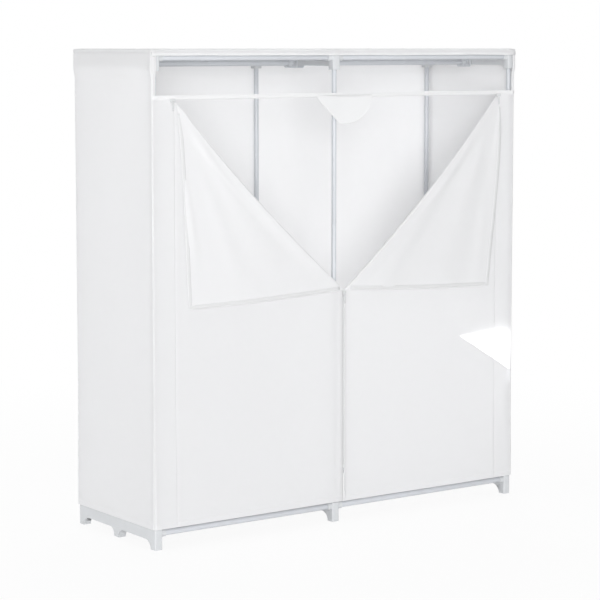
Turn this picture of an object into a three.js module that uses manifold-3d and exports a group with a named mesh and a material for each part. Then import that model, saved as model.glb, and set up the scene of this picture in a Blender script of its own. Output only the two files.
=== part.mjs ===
// A portable fabric wardrobe: steel tubes in plastic cross frames under a white cloth cover.
// The front closes with a T-shaped zip, and both door flaps are folded out over their diagonals.
// Millimetres, +Z up. The front faces -Y, and the origin is on the floor under the middle.
import * as THREE from 'three';
import { mergeVertices } from 'three/addons/utils/BufferGeometryUtils.js';
import Module from 'manifold-3d';

const wasm = await Module();
wasm.setup();

// Overall sizes of the covered wardrobe
const overall_width = 1524;
const overall_depth = 500;
const overall_height = 1610;
// The walls stand this far inside the hood, which bulges over the top sockets
const hood_bulge = 4;
const hood_height = 70;
const hood_slope_height = 22;

// Cloth
const cloth_thickness = 1;
const seam_gap = 0.3;
const hem_floor_height = 68;
const front_band_height = 22;
const frame_cloth_gap = 0.3;

// Clearance of a tube in its socket, and the overrun of cuts past a face
const fit_clearance = 0.3;
const cut_overrun = 2;

// Steel tubes
const post_diameter = 16;
const rail_diameter = 20;
const tube_wall = 1.2;
const tube_sides = 20;

// Plastic base cross frames
const base_frame_width = 28;
const base_frame_height = 66;
const end_foot_depth = 28;
const arch_height = 29;
const arch_run = 34;
const middle_foot_depth = 29;
const middle_foot_run = 24;
const base_post_floor = 18;
const base_rail_height = 53;

// The middle frame stands left of the centre line
const middle_frame_offset = -32;

// Plastic top cross frames
const top_beam_width = 24;
const top_beam_height = 50;
const top_beam_drop = 8;
const top_socket_width = 28;
const top_socket_depth = 30;
const top_socket_height = 70;
const post_top_drop = 45;
const top_rail_drop = 28;
const sleeve_length = 16;
const sleeve_wall = 2.5;
const sleeve_end_wall = 2;

// Hanging rods and their holders
const rod_drop = 49;
const holder_cup_wall = 3;
const holder_cup_length = 14;
const holder_plate_thickness = 3;
const holder_plate_depth = 78;
const holder_plate_height = 34;
const holder_hole_diameter = 12;
const holder_hole_offset = 27;

// Header strip across the front and the half-moon patch that hangs from it
const strip_drop = 148;
const strip_height = 12;
const strip_thickness = 2.4;
const patch_half_width = 115;
const patch_height = 92;
const patch_gap = 0.5;

// Zip: chain, tape and the lines that it runs on
const chain_gap = 1;
const chain_width = 3;
const chain_thickness = 2.8;
const tape_width = 13;
const tape_thickness = 0.6;
const zip_corner_inset = 86;
const fold_low_height = 795;
const zip_corner_trim = 40;
const zip_corner_drop = 7;
const fold_tip_trim = 14;

// Doors: the hinge seam lies just outside the zip's end
const hinge_seam_offset = 3;

// Door flaps, folded over the diagonal
const fold_edge_gap = 0.6;
const flap_stand_off = 1;
const flap_fold_angle = Math.PI;
const flap_rows = 16;
const flap_columns = 22;
const flap_roll_width = 14;
const flap_edge_flat = 16;
const flap_edge_fade = 90;
// Soft ridges fan out from the fold's upper end: shares of the fan's angle, and heights
const ridge_angle_shares = [0.42, 0.68, 0.86];
const ridge_width_shares = [0.1, 0.06, 0.045];
const ridge_heights = [3.5, 6, 4.5];

// Zip sliders and pull tabs
const slider_length = 20;
const slider_mouth_width = 13;
const slider_tail_width = 10.5;
const slider_plate = 2;
const slider_clearance = 0.5;
const slider_web_width = 1.1;
const slider_web_length = 7;
const bail_width = 2.4;
const bail_outer_radius = 4.4;
const bail_inner_radius = 2.7;
const pull_length = 34;
const pull_width = 7.5;
const pull_thickness = 1.2;
const pull_window_width = 4;
const pull_window_height = 6;
const pull_tip_hole = 3;
const centre_slider_drop = 12;
const top_slider_outset = 10;

// Places worked out from the sizes above
const half_width = overall_width / 2;
const half_depth = overall_depth / 2;
const wall_half_width = half_width - hood_bulge;
const wall_half_depth = half_depth - hood_bulge;
const frame_half_width = wall_half_width - cloth_thickness - frame_cloth_gap;
const frame_half_depth = wall_half_depth - cloth_thickness - frame_cloth_gap;
const post_x = frame_half_width - base_frame_width / 2;
const post_y = frame_half_depth - end_foot_depth / 2;
const frame_places = { left: -post_x, middle: middle_frame_offset, right: post_x };
const roof_underside = overall_height - cloth_thickness;
const frame_top = roof_underside - frame_cloth_gap;
const post_top = overall_height - post_top_drop;
const top_rail_height = overall_height - top_rail_drop;
const rod_height = overall_height - rod_drop;
const strip_top = overall_height - strip_drop;
const strip_bottom = strip_top - strip_height;
const front_y = -wall_half_depth;
const cloth_mid_y = front_y + cloth_thickness / 2;
const zip_height = strip_bottom - chain_gap - chain_width;
const zip_half_span = wall_half_width - zip_corner_inset;
const top_slider_offset = zip_half_span + top_slider_outset;
const header_zip_end = top_slider_offset + slider_length / 2 + slider_clearance;
const centre_slider_height = fold_low_height - centre_slider_drop;
const fold_axis_y = front_y - flap_stand_off;
const hinge_seam_x = zip_half_span + hinge_seam_offset;
const cloth_edge_x = chain_gap + chain_width;

// Finishes
const cloth_white = { color: 0xf1f2f4, roughness: 0.92, metalness: 0 };
const strip_white = { color: 0xf7f8f9, roughness: 0.85, metalness: 0 };
const frame_plastic = { color: 0xdcdfe2, roughness: 0.5, metalness: 0 };
const tube_paint = { color: 0xd7dadf, roughness: 0.35, metalness: 0.2 };
const zip_white = { color: 0xeceef0, roughness: 0.6, metalness: 0 };
const slider_metal = { color: 0x74777c, roughness: 0.4, metalness: 0.7 };
const holder_grey = { color: 0x9aa0a8, roughness: 0.55, metalness: 0 };

const wardrobe = new THREE.Group();

// Adds one named piece to a group
function addPiece(name, geometry, finish, parent = wardrobe) {
  const piece = new THREE.Mesh(geometry, new THREE.MeshStandardMaterial(finish));
  piece.name = name;
  parent.add(piece);
  return piece;
}

// A geometry with shared corners, as booleans and closed bodies need
function welded(geometry) {
  const bare = geometry.clone();
  bare.deleteAttribute('normal');
  bare.deleteAttribute('uv');
  return mergeVertices(bare);
}

function solidOf(geometry) {
  const shared = welded(geometry);
  const triangles = Uint32Array.from(shared.index.array);
  const corners = Float32Array.from(shared.attributes.position.array);
  return new wasm.Manifold(new wasm.Mesh({ numProp: 3, vertProperties: corners, triVerts: triangles }));
}

function geometryOf(solid) {
  const result = solid.getMesh();
  const geometry = new THREE.BufferGeometry();
  geometry.setAttribute('position', new THREE.BufferAttribute(Float32Array.from(result.vertProperties), 3));
  geometry.setIndex(new THREE.BufferAttribute(Uint32Array.from(result.triVerts), 1));
  geometry.computeVertexNormals();
  return geometry;
}

// The base geometry with others joined to it and others cut from it
function shaped(base, joined, cutters = []) {
  let solid = solidOf(base);
  for (const extra of joined) solid = solid.add(solidOf(extra));
  for (const cutter of cutters) solid = solid.subtract(solidOf(cutter));
  return geometryOf(solid);
}

// The same shape on the other side of the plane X = 0
function mirrored(geometry) {
  const copy = welded(geometry);
  const places = copy.attributes.position;
  for (let i = 0; i < places.count; i += 1) places.setX(i, -places.getX(i));
  const index = copy.index.array;
  for (let i = 0; i < index.length; i += 3) {
    const kept = index[i + 1];
    index[i + 1] = index[i + 2];
    index[i + 2] = kept;
  }
  copy.computeVertexNormals();
  return copy;
}

// A box between two values on each axis
function boxBetween(x0, x1, y0, y1, z0, z1) {
  const box = new THREE.BoxGeometry(x1 - x0, y1 - y0, z1 - z0);
  return box.translate((x0 + x1) / 2, (y0 + y1) / 2, (z0 + z1) / 2);
}

// An outline of (y, z) points made thick along X, starting at x0
function alongX(shape, x0, width, curveSegments = 8) {
  const solid = new THREE.ExtrudeGeometry(shape, { depth: width, bevelEnabled: false, curveSegments });
  const turn = new THREE.Matrix4().makeBasis(
    new THREE.Vector3(0, 1, 0), new THREE.Vector3(0, 0, 1), new THREE.Vector3(1, 0, 0));
  return solid.applyMatrix4(turn).translate(x0, 0, 0);
}

// An outline of (x, z) points made thick along Y, from y0 to y0 + depth
function alongY(shape, y0, depth, curveSegments = 8) {
  const solid = new THREE.ExtrudeGeometry(shape, { depth, bevelEnabled: false, curveSegments });
  const turn = new THREE.Matrix4().makeBasis(
    new THREE.Vector3(1, 0, 0), new THREE.Vector3(0, 0, 1), new THREE.Vector3(0, -1, 0));
  return solid.applyMatrix4(turn).translate(0, y0 + depth, 0);
}

// A round bar on the Z axis from z0 to z1
function barAlongZ(diameter, z0, z1) {
  const bar = new THREE.CylinderGeometry(diameter / 2, diameter / 2, z1 - z0, tube_sides);
  return bar.rotateX(Math.PI / 2).translate(0, 0, (z0 + z1) / 2);
}

// A round bar along X from x0 to x1
function barAlongX(diameter, x0, x1) {
  const bar = new THREE.CylinderGeometry(diameter / 2, diameter / 2, x1 - x0, tube_sides);
  return bar.rotateZ(Math.PI / 2).translate((x0 + x1) / 2, 0, 0);
}

// A hollow tube on the Z axis, from 0 to its length, open at both ends
function tubeOnZ(diameter, length) {
  const outer = diameter / 2;
  const inner = outer - tube_wall;
  const profile = [
    new THREE.Vector2(inner, 0),
    new THREE.Vector2(outer, 0),
    new THREE.Vector2(outer, length),
    new THREE.Vector2(inner, length),
    new THREE.Vector2(inner, 0),
  ];
  return new THREE.LatheGeometry(profile, tube_sides).rotateX(Math.PI / 2);
}

// A closed body through rectangles at rising heights: each is { z, x0, x1, y0, y1 }
function stackedPanel(levels) {
  const places = [];
  for (const at of levels) {
    places.push([at.x0, at.y0, at.z], [at.x1, at.y0, at.z], [at.x1, at.y1, at.z], [at.x0, at.y1, at.z]);
  }
  const faces = [[0, 3, 2, 1]];
  for (let row = 0; row < levels.length - 1; row += 1) {
    const low = row * 4;
    const high = low + 4;
    for (let side = 0; side < 4; side += 1) {
      const next = (side + 1) % 4;
      faces.push([low + side, low + next, high + next, high + side]);
    }
  }
  const last = (levels.length - 1) * 4;
  faces.push([last, last + 1, last + 2, last + 3]);
  const index = faces.flatMap(([a, b, c, d]) => [a, b, c, a, c, d]);
  const geometry = new THREE.BufferGeometry();
  geometry.setAttribute('position', new THREE.Float32BufferAttribute(places.flat(), 3));
  geometry.setIndex(index);
  geometry.computeVertexNormals();
  return geometry;
}

// Base cross frame: a beam on three feet, with sockets for the two posts and sleeves for rails

function baseFrameOutline() {
  const end = frame_half_depth;
  const foot = end - end_foot_depth;
  const middle = middle_foot_depth / 2;
  const outline = new THREE.Shape();
  outline.moveTo(-end, 0);
  outline.lineTo(-foot, 0);
  outline.quadraticCurveTo(-foot, arch_height, -foot + arch_run, arch_height);
  outline.lineTo(-middle - middle_foot_run, arch_height);
  outline.quadraticCurveTo(-middle, arch_height, -middle, 0);
  outline.lineTo(middle, 0);
  outline.quadraticCurveTo(middle, arch_height, middle + middle_foot_run, arch_height);
  outline.lineTo(foot - arch_run, arch_height);
  outline.quadraticCurveTo(foot, arch_height, foot, 0);
  outline.lineTo(end, 0);
  outline.lineTo(end, base_frame_height);
  outline.lineTo(-end, base_frame_height);
  outline.closePath();
  return outline;
}

// Rail sleeves on the sides of a frame that face a bay; sides holds -1, 1 or both
function sleeveBars(sides, block_width, height) {
  const outer_diameter = rail_diameter + 2 * sleeve_wall;
  const reach = block_width / 2 + sleeve_length;
  return sides.flatMap((side) => [-post_y, post_y].map((y) =>
    barAlongX(outer_diameter, Math.min(0, side * reach), Math.max(0, side * reach)).translate(0, y, height)));
}

function sleeveBores(sides, block_width, height) {
  const bore = rail_diameter + 2 * fit_clearance;
  const seat = block_width / 2 + sleeve_end_wall - fit_clearance;
  const mouth = block_width / 2 + sleeve_length + cut_overrun;
  return sides.flatMap((side) => [-post_y, post_y].map((y) =>
    barAlongX(bore, Math.min(side * seat, side * mouth), Math.max(side * seat, side * mouth))
      .translate(0, y, height)));
}

function baseFrame(sides) {
  const beam = alongX(baseFrameOutline(), -base_frame_width / 2, base_frame_width, 6);
  const post_bore = post_diameter + 2 * fit_clearance;
  const floor = base_post_floor - fit_clearance;
  const bores = [-post_y, post_y].map((y) =>
    barAlongZ(post_bore, floor, base_frame_height + sleeve_wall + cut_overrun).translate(0, y, 0));
  return shaped(beam, sleeveBars(sides, base_frame_width, base_rail_height),
    [...bores, ...sleeveBores(sides, base_frame_width, base_rail_height)]);
}

// Top cross frame: a beam between two corner blocks that hold the posts from below

function topFrame(sides) {
  const beam = boxBetween(-top_beam_width / 2, top_beam_width / 2, -post_y, post_y,
    overall_height - top_beam_drop - top_beam_height, overall_height - top_beam_drop);
  const blocks = [-post_y, post_y].map((y) =>
    boxBetween(-top_socket_width / 2, top_socket_width / 2, y - top_socket_depth / 2,
      y + top_socket_depth / 2, overall_height - top_socket_height, frame_top));
  const post_bore = post_diameter + 2 * fit_clearance;
  const bores = [-post_y, post_y].map((y) =>
    barAlongZ(post_bore, overall_height - top_socket_height - cut_overrun, post_top + fit_clearance)
      .translate(0, y, 0));
  return shaped(beam, [...blocks, ...sleeveBars(sides, top_socket_width, top_rail_height)],
    [...bores, ...sleeveBores(sides, top_socket_width, top_rail_height)]);
}

const bay_sides = { left: [1], middle: [-1, 1], right: [-1] };
for (const [place, x] of Object.entries(frame_places)) {
  addPiece(`base_cross_frame_${place}`, baseFrame(bay_sides[place]), frame_plastic).position.x = x;
  addPiece(`top_cross_frame_${place}`, topFrame(bay_sides[place]), frame_plastic).position.x = x;
  for (const [end, y] of [['front', -post_y], ['back', post_y]]) {
    const post = addPiece(`post_${end}_${place}`, tubeOnZ(post_diameter, post_top - base_post_floor), tube_paint);
    post.position.set(x, y, base_post_floor);
  }
}

// Rails and hanging rods run along X in each bay, between two frames

function addBayTube(name, bay, block_width, seat_length, y, z) {
  const start = frame_places[bay[0]] + block_width / 2 + seat_length;
  const end = frame_places[bay[1]] - block_width / 2 - seat_length;
  const tube = addPiece(name, tubeOnZ(rail_diameter, end - start), tube_paint);
  tube.position.set(start, y, z);
  tube.rotation.y = Math.PI / 2;
}

// A holder is a plate on the beam's side with a cup for the rod and two round holes beside it
function rodHolder() {
  const cup_diameter = rail_diameter + 2 * (holder_cup_wall + fit_clearance);
  const plate = boxBetween(0, holder_plate_thickness, -holder_plate_depth / 2, holder_plate_depth / 2,
    rod_height - holder_plate_height / 2, rod_height + holder_plate_height / 2);
  const cup = barAlongX(cup_diameter, 0, holder_plate_thickness + holder_cup_length)
    .translate(0, 0, rod_height);
  const bore = barAlongX(rail_diameter + 2 * fit_clearance, holder_plate_thickness,
    holder_plate_thickness + holder_cup_length + cut_overrun).translate(0, 0, rod_height);
  const holes = [-1, 1].map((side) =>
    barAlongX(holder_hole_diameter, -cut_overrun, holder_plate_thickness + cut_overrun)
      .translate(0, side * holder_hole_offset, rod_height));
  return shaped(plate, [cup], [bore, ...holes]);
}

function addRodHolder(name, place, side) {
  const face = frame_places[place] + side * (top_beam_width / 2 + fit_clearance);
  const geometry = side > 0 ? rodHolder() : mirrored(rodHolder());
  addPiece(name, geometry, holder_grey).position.x = face;
}

for (const bay of [['left', 'middle'], ['middle', 'right']]) {
  const side = bay[0] === 'left' ? 'left' : 'right';
  for (const [end, y] of [['front', -post_y], ['back', post_y]]) {
    addBayTube(`base_rail_${end}_${side}`, bay, base_frame_width, sleeve_end_wall, y, base_rail_height);
    addBayTube(`top_rail_${end}_${side}`, bay, top_socket_width, sleeve_end_wall, y, top_rail_height);
  }
  const rod_seat = holder_plate_thickness + 2 * fit_clearance;
  addBayTube(`hanging_rod_${side}`, bay, top_beam_width, rod_seat, 0, rod_height);
  addRodHolder(`rod_holder_${side}_outer`, side, side === 'left' ? 1 : -1);
  addRodHolder(`rod_holder_${side}_inner`, 'middle', side === 'left' ? -1 : 1);
}

// Cloth cover: roof, walls and front borders

// Levels of a wall that flares out to the hood: place gives the rectangle for an outward shift
function flaredLevels(top, place) {
  const hood_bottom = overall_height - hood_height;
  return [
    { z: hem_floor_height, ...place(0) },
    { z: hood_bottom - hood_slope_height, ...place(0) },
    { z: hood_bottom, ...place(hood_bulge) },
    { z: top, ...place(hood_bulge) },
  ];
}

const wall_top = roof_underside - seam_gap;
const leftWall = stackedPanel(flaredLevels(wall_top, (shift) => ({
  x0: -wall_half_width - shift,
  x1: -wall_half_width - shift + cloth_thickness,
  y0: -wall_half_depth - shift,
  y1: wall_half_depth + shift,
})));
const backWall = stackedPanel(flaredLevels(wall_top, (shift) => ({
  x0: -wall_half_width - shift + cloth_thickness + seam_gap,
  x1: wall_half_width + shift - cloth_thickness - seam_gap,
  y0: wall_half_depth + shift - cloth_thickness,
  y1: wall_half_depth + shift,
})));
addPiece('cover_left_wall', leftWall, cloth_white);
addPiece('cover_right_wall', mirrored(leftWall), cloth_white);
addPiece('cover_back_wall', backWall, cloth_white);
addPiece('cover_roof', boxBetween(-half_width, half_width, -half_depth, half_depth,
  roof_underside, overall_height), cloth_white);

const band_end = half_width - cloth_thickness - seam_gap;
addPiece('cover_front_band', boxBetween(-band_end, band_end, -half_depth, -half_depth + cloth_thickness,
  overall_height - front_band_height, wall_top), cloth_white);

const front_end = wall_half_width - cloth_thickness - seam_gap;

// A front border ends under the strip, and steps down below the zip's outer end
function frontBorder() {
  const inner = -hinge_seam_x - seam_gap / 2;
  const step_x = -header_zip_end - seam_gap;
  const step_z = zip_height - cloth_edge_x;
  const outline = new THREE.Shape();
  outline.moveTo(-front_end, hem_floor_height);
  outline.lineTo(inner, hem_floor_height);
  outline.lineTo(inner, step_z);
  outline.lineTo(step_x, step_z);
  outline.lineTo(step_x, strip_bottom - seam_gap);
  outline.lineTo(-front_end, strip_bottom - seam_gap);
  outline.closePath();
  return alongY(outline, front_y, cloth_thickness);
}
addPiece('cover_front_border_left', frontBorder(), cloth_white);
addPiece('cover_front_border_right', mirrored(frontBorder()), cloth_white);

const strip_front = cloth_mid_y - strip_thickness / 2;
addPiece('header_strip', boxBetween(-front_end, front_end, strip_front, strip_front + strip_thickness,
  strip_bottom, strip_top), strip_white);

// The half-moon patch overlaps the strip's lower half and hangs in front of the zip
function halfMoon() {
  const outline = new THREE.Shape();
  const sewn = strip_bottom + strip_height / 2;
  outline.moveTo(-patch_half_width, sewn);
  outline.lineTo(-patch_half_width, strip_bottom);
  outline.absellipse(0, strip_bottom, patch_half_width, patch_height, Math.PI, 2 * Math.PI, false, 0);
  outline.lineTo(patch_half_width, sewn);
  outline.closePath();
  return alongY(outline, strip_front - patch_gap - cloth_thickness, cloth_thickness, 24);
}
addPiece('header_patch', halfMoon(), strip_white);

// The fold line of the left door runs from the zip's outer end down to the middle of the front
const fold_start = new THREE.Vector2(-zip_half_span, zip_height);
const fold_end = new THREE.Vector2(0, fold_low_height);
const fold_length = fold_start.distanceTo(fold_end);
const fold_way = fold_end.clone().sub(fold_start).normalize();
// Points up and inwards, from the door's side to the opening's side
const fold_normal = new THREE.Vector2(-fold_way.y, fold_way.x);

// A place in the door plane from its distance along the fold and its distance across it
function foldPlace(along, across) {
  return fold_start.clone().addScaledVector(fold_way, along).addScaledVector(fold_normal, across);
}

// How far along the fold a place lies, at a given distance across, where it meets x or z
function alongAtX(x, across) {
  return (x - fold_start.x - fold_normal.x * across) / fold_way.x;
}
function alongAtZ(z, across) {
  return (z - fold_start.y - fold_normal.y * across) / fold_way.y;
}

// Lower door panel, below the fold and clear of the top slider
function doorPanel() {
  const outer = -hinge_seam_x + seam_gap / 2;
  const upper = foldPlace(alongAtX(outer, -fold_edge_gap), -fold_edge_gap);
  const slider_underside = zip_height - slider_mouth_width / 2 - slider_clearance;
  const top_z = Math.min(upper.y, slider_underside);
  const upper_end = foldPlace(alongAtZ(top_z, -fold_edge_gap), -fold_edge_gap);
  const inner = foldPlace(alongAtX(-cloth_edge_x, -fold_edge_gap), -fold_edge_gap);
  const outline = new THREE.Shape();
  outline.moveTo(outer, hem_floor_height);
  outline.lineTo(-cloth_edge_x, hem_floor_height);
  outline.lineTo(-cloth_edge_x, inner.y);
  outline.lineTo(upper_end.x, upper_end.y);
  if (upper_end.x > outer) outline.lineTo(outer, top_z);
  outline.closePath();
  return alongY(outline, front_y, cloth_thickness);
}
addPiece('door_panel_left', doorPanel(), cloth_white);
addPiece('door_panel_right', mirrored(doorPanel()), cloth_white);

// One half of a zip on a straight edge: the chain bead, with the tape behind the cloth
const chain_front = cloth_mid_y - chain_thickness / 2;
const tape_front = front_y + cloth_thickness + seam_gap;
const header_tape_front = strip_front + strip_thickness + seam_gap;

function doorZip() {
  const low = hem_floor_height;
  const high = centre_slider_height + slider_length / 2 - seam_gap;
  const chain = boxBetween(-cloth_edge_x + seam_gap, -chain_gap, chain_front,
    chain_front + chain_thickness, low, high);
  const tape = boxBetween(-chain_gap - tape_width, -chain_gap - chain_width / 2, tape_front,
    tape_front + tape_thickness, low, high);
  return shaped(chain, [tape]);
}
addPiece('door_zip_left', doorZip(), zip_white);
addPiece('door_zip_right', mirrored(doorZip()), zip_white);

function headerZip() {
  const end = header_zip_end;
  const chain = boxBetween(-end, end, chain_front, chain_front + chain_thickness,
    zip_height + chain_gap, strip_bottom - seam_gap);
  const tape = boxBetween(-end, end, header_tape_front, header_tape_front + tape_thickness,
    zip_height + chain_gap, zip_height + chain_gap + tape_width);
  const web = boxBetween(-end, end, cloth_mid_y, header_tape_front + tape_thickness,
    zip_height + chain_gap, zip_height + chain_gap + chain_width / 2);
  return shaped(chain, [tape, web]);
}
addPiece('header_zip', headerZip(), zip_white);

// Door flaps are drawn closed, in the opening, and then turned about the fold

// Rises smoothly from 0 to 1 between two values
function smoothRise(value, low, high) {
  const share = Math.min(1, Math.max(0, (value - low) / (high - low)));
  return share * share * (3 - 2 * share);
}

const flap_corner = new THREE.Vector2(-cloth_edge_x, zip_height - cloth_edge_x);
const flap_fan_angle = Math.acos(flap_corner.clone().sub(fold_start).normalize().dot(fold_way));

// How far the cloth stands out of the closed door plane, inwards when closed
function flapLift(x, z) {
  const from_start = new THREE.Vector2(x, z).sub(fold_start);
  const across = from_start.dot(fold_normal);
  const fan_share = Math.atan2(across, from_start.dot(fold_way)) / flap_fan_angle;
  const reach = from_start.length() / fold_length;
  const fade = smoothRise(-x, flap_edge_flat + cloth_edge_x, flap_edge_flat + flap_edge_fade)
    * smoothRise(zip_height - z, flap_edge_flat + cloth_edge_x, flap_edge_flat + flap_edge_fade);
  let ridges = 0;
  ridge_angle_shares.forEach((angle_share, i) => {
    const offset = (fan_share - angle_share) / ridge_width_shares[i];
    ridges += ridge_heights[i] * reach * Math.exp(-offset * offset);
  });
  const roll = (2 * flap_stand_off - seam_gap) * (1 - smoothRise(across, 0, flap_roll_width));
  return ridges * fade - roll;
}

// Closed outline of the flap: the folded edge, then rows that shrink towards the free corner
function flapSheet() {
  const low_z = zip_height - zip_corner_drop;
  const first = foldPlace(alongAtZ(low_z, fold_edge_gap), fold_edge_gap);
  const last = foldPlace(alongAtX(-fold_tip_trim, fold_edge_gap), fold_edge_gap);
  const shoulder_x = -zip_half_span + zip_corner_trim;
  const top_z = flap_corner.y;
  const side_x = flap_corner.x;
  // Outer boundary opposite the fold, from the fold's upper end to its lower end
  const upper_run = [
    new THREE.Vector2(shoulder_x - zip_corner_drop, low_z),
    new THREE.Vector2(shoulder_x, top_z),
  ];
  const rim = [first, ...upper_run, flap_corner.clone(),
    new THREE.Vector2(side_x, last.y + fold_tip_trim), last];
  const rim_steps = [0];
  for (let i = 1; i < rim.length; i += 1) rim_steps.push(rim_steps[i - 1] + rim[i].distanceTo(rim[i - 1]));
  const rim_length = rim_steps[rim.length - 1];
  function rimPlace(share) {
    const way = share * rim_length;
    let i = 1;
    while (i < rim.length - 1 && rim_steps[i] < way) i += 1;
    const local = (way - rim_steps[i - 1]) / (rim_steps[i] - rim_steps[i - 1]);
    return rim[i - 1].clone().lerp(rim[i], local);
  }
  // Columns pass through the rim's corners, so that they stay sharp
  const corner_shares = rim_steps.map((step) => step / rim_length);
  const shares = [];
  for (let i = 1; i < corner_shares.length; i += 1) {
    const span = corner_shares[i] - corner_shares[i - 1];
    const count = Math.max(1, Math.round(span * flap_columns));
    for (let k = 0; k < count; k += 1) shares.push(corner_shares[i - 1] + span * k / count);
  }
  shares.push(1);
  const places = [];
  const columns = shares.length;
  for (let row = 0; row <= flap_rows; row += 1) {
    for (const share of shares) {
      const fold_place = first.clone().lerp(last, share);
      const place = fold_place.lerp(rimPlace(share), row / flap_rows);
      places.push(place);
    }
  }
  const corners = [];
  const count = places.length;
  for (const inward of [0, cloth_thickness]) {
    for (const at of places) corners.push(at.x, front_y + inward + flapLift(at.x, at.y), at.y);
  }
  const index = [];
  function addFace(a, b, c, d) {
    index.push(a, b, c, a, c, d);
  }
  for (let row = 0; row < flap_rows; row += 1) {
    for (let i = 0; i < columns - 1; i += 1) {
      const a = row * columns + i;
      const b = a + 1;
      const c = b + columns;
      const d = a + columns;
      addFace(a, b, c, d);
      addFace(count + a, count + d, count + c, count + b);
    }
  }
  const edge = [];
  for (let i = 0; i < columns; i += 1) edge.push(i);
  for (let i = columns - 1; i >= 0; i -= 1) edge.push(flap_rows * columns + i);
  for (let i = 0; i < edge.length; i += 1) {
    const a = edge[i];
    const b = edge[(i + 1) % edge.length];
    addFace(a, count + a, count + b, b);
  }
  const geometry = new THREE.BufferGeometry();
  geometry.setAttribute('position', new THREE.Float32BufferAttribute(corners, 3));
  geometry.setIndex(index);
  return withoutSlivers(geometry);
}

// Joins equal corners and drops triangles that have no area left
function withoutSlivers(geometry) {
  const shared = mergeVertices(geometry);
  const kept = [];
  const index = shared.index.array;
  for (let i = 0; i < index.length; i += 3) {
    const [a, b, c] = [index[i], index[i + 1], index[i + 2]];
    if (a !== b && b !== c && c !== a) kept.push(a, b, c);
  }
  shared.setIndex(kept);
  shared.computeVertexNormals();
  return shared;
}

// The zip half on the flap's two free edges, drawn closed
function flapZip() {
  const top = zip_height - chain_gap;
  const side = -chain_gap;
  const start_x = -zip_half_span + zip_corner_trim;
  const low_z = fold_low_height + fold_tip_trim + chain_width;
  function elbow(near, far) {
    const outline = new THREE.Shape();
    outline.moveTo(start_x, top - near);
    outline.lineTo(start_x, top - far);
    outline.lineTo(side - far, top - far);
    outline.lineTo(side - far, low_z);
    outline.lineTo(side - near, low_z);
    outline.lineTo(side - near, top - near);
    outline.closePath();
    return outline;
  }
  const chain = alongY(elbow(0, chain_width - seam_gap), chain_front, chain_thickness);
  const tape = alongY(elbow(chain_width / 2, tape_width), tape_front, tape_thickness);
  return shaped(chain, [tape]);
}

// A group that carries one flap and its zip, turned about the fold line by the folding angle
function foldedGroup(side) {
  const pivot = new THREE.Vector3(side * fold_start.x, fold_axis_y, fold_start.y);
  const way = new THREE.Vector3(side * fold_way.x, 0, fold_way.y);
  const turned = new THREE.Group();
  turned.position.copy(pivot);
  turned.quaternion.setFromAxisAngle(way, side * flap_fold_angle);
  const carried = new THREE.Group();
  carried.position.copy(pivot).negate();
  turned.add(carried);
  wardrobe.add(turned);
  return carried;
}
const leftFold = foldedGroup(1);
addPiece('door_flap_left', flapSheet(), cloth_white, leftFold);
addPiece('flap_zip_left', flapZip(), zip_white, leftFold);
const rightFold = foldedGroup(-1);
addPiece('door_flap_right', mirrored(flapSheet()), cloth_white, rightFold);
addPiece('flap_zip_right', mirrored(flapZip()), zip_white, rightFold);

// Zip sliders: two plates round the chain, joined by a web, with a bail for the pull tab

const slider_front = chain_front - slider_clearance;
const slider_back = header_tape_front + tape_thickness + slider_clearance;

// The plate's outline about the zip line, with its wide mouth at the upper end
function sliderOutline() {
  const half = slider_length / 2;
  const outline = new THREE.Shape();
  outline.moveTo(-slider_tail_width / 2, -half);
  outline.lineTo(slider_tail_width / 2, -half);
  outline.lineTo(slider_tail_width / 2, 0);
  outline.lineTo(slider_mouth_width / 2, half / 2);
  outline.lineTo(slider_mouth_width / 2, half);
  outline.lineTo(-slider_mouth_width / 2, half);
  outline.lineTo(-slider_mouth_width / 2, half / 2);
  outline.lineTo(-slider_tail_width / 2, 0);
  outline.closePath();
  return outline;
}

// The bail is half a ring that stands on the front plate and is open along X
function bail() {
  const outline = new THREE.Shape();
  const foot_y = slider_front - slider_plate;
  outline.moveTo(foot_y + slider_plate / 2, -bail_outer_radius);
  outline.lineTo(foot_y, -bail_outer_radius);
  outline.absarc(foot_y, 0, bail_outer_radius, -Math.PI / 2, Math.PI / 2, true);
  outline.lineTo(foot_y + slider_plate / 2, bail_outer_radius);
  outline.lineTo(foot_y + slider_plate / 2, bail_inner_radius);
  outline.lineTo(foot_y, bail_inner_radius);
  outline.absarc(foot_y, 0, bail_inner_radius, Math.PI / 2, -Math.PI / 2, false);
  outline.lineTo(foot_y + slider_plate / 2, -bail_inner_radius);
  outline.closePath();
  return alongX(outline, -bail_width / 2, bail_width, 8);
}

// turn is the angle of the zip line in the front plane: 0 is upright with the mouth up
function slider(turn) {
  const front = alongY(sliderOutline(), slider_front - slider_plate, slider_plate);
  const back = alongY(sliderOutline(), slider_back, slider_plate);
  const web_top = slider_length / 2;
  const web = boxBetween(-slider_web_width / 2, slider_web_width / 2, slider_front - slider_plate / 2,
    slider_back + slider_plate / 2, web_top - slider_web_length, web_top);
  const body = [front, back, web].map((part) => part.rotateY(turn));
  return shaped(body[0], [body[1], body[2], bail()]);
}

// A flat tab with a window at its top, through which the bail passes
const pull_axis_y = slider_front - slider_plate - bail_inner_radius / 2;

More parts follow.
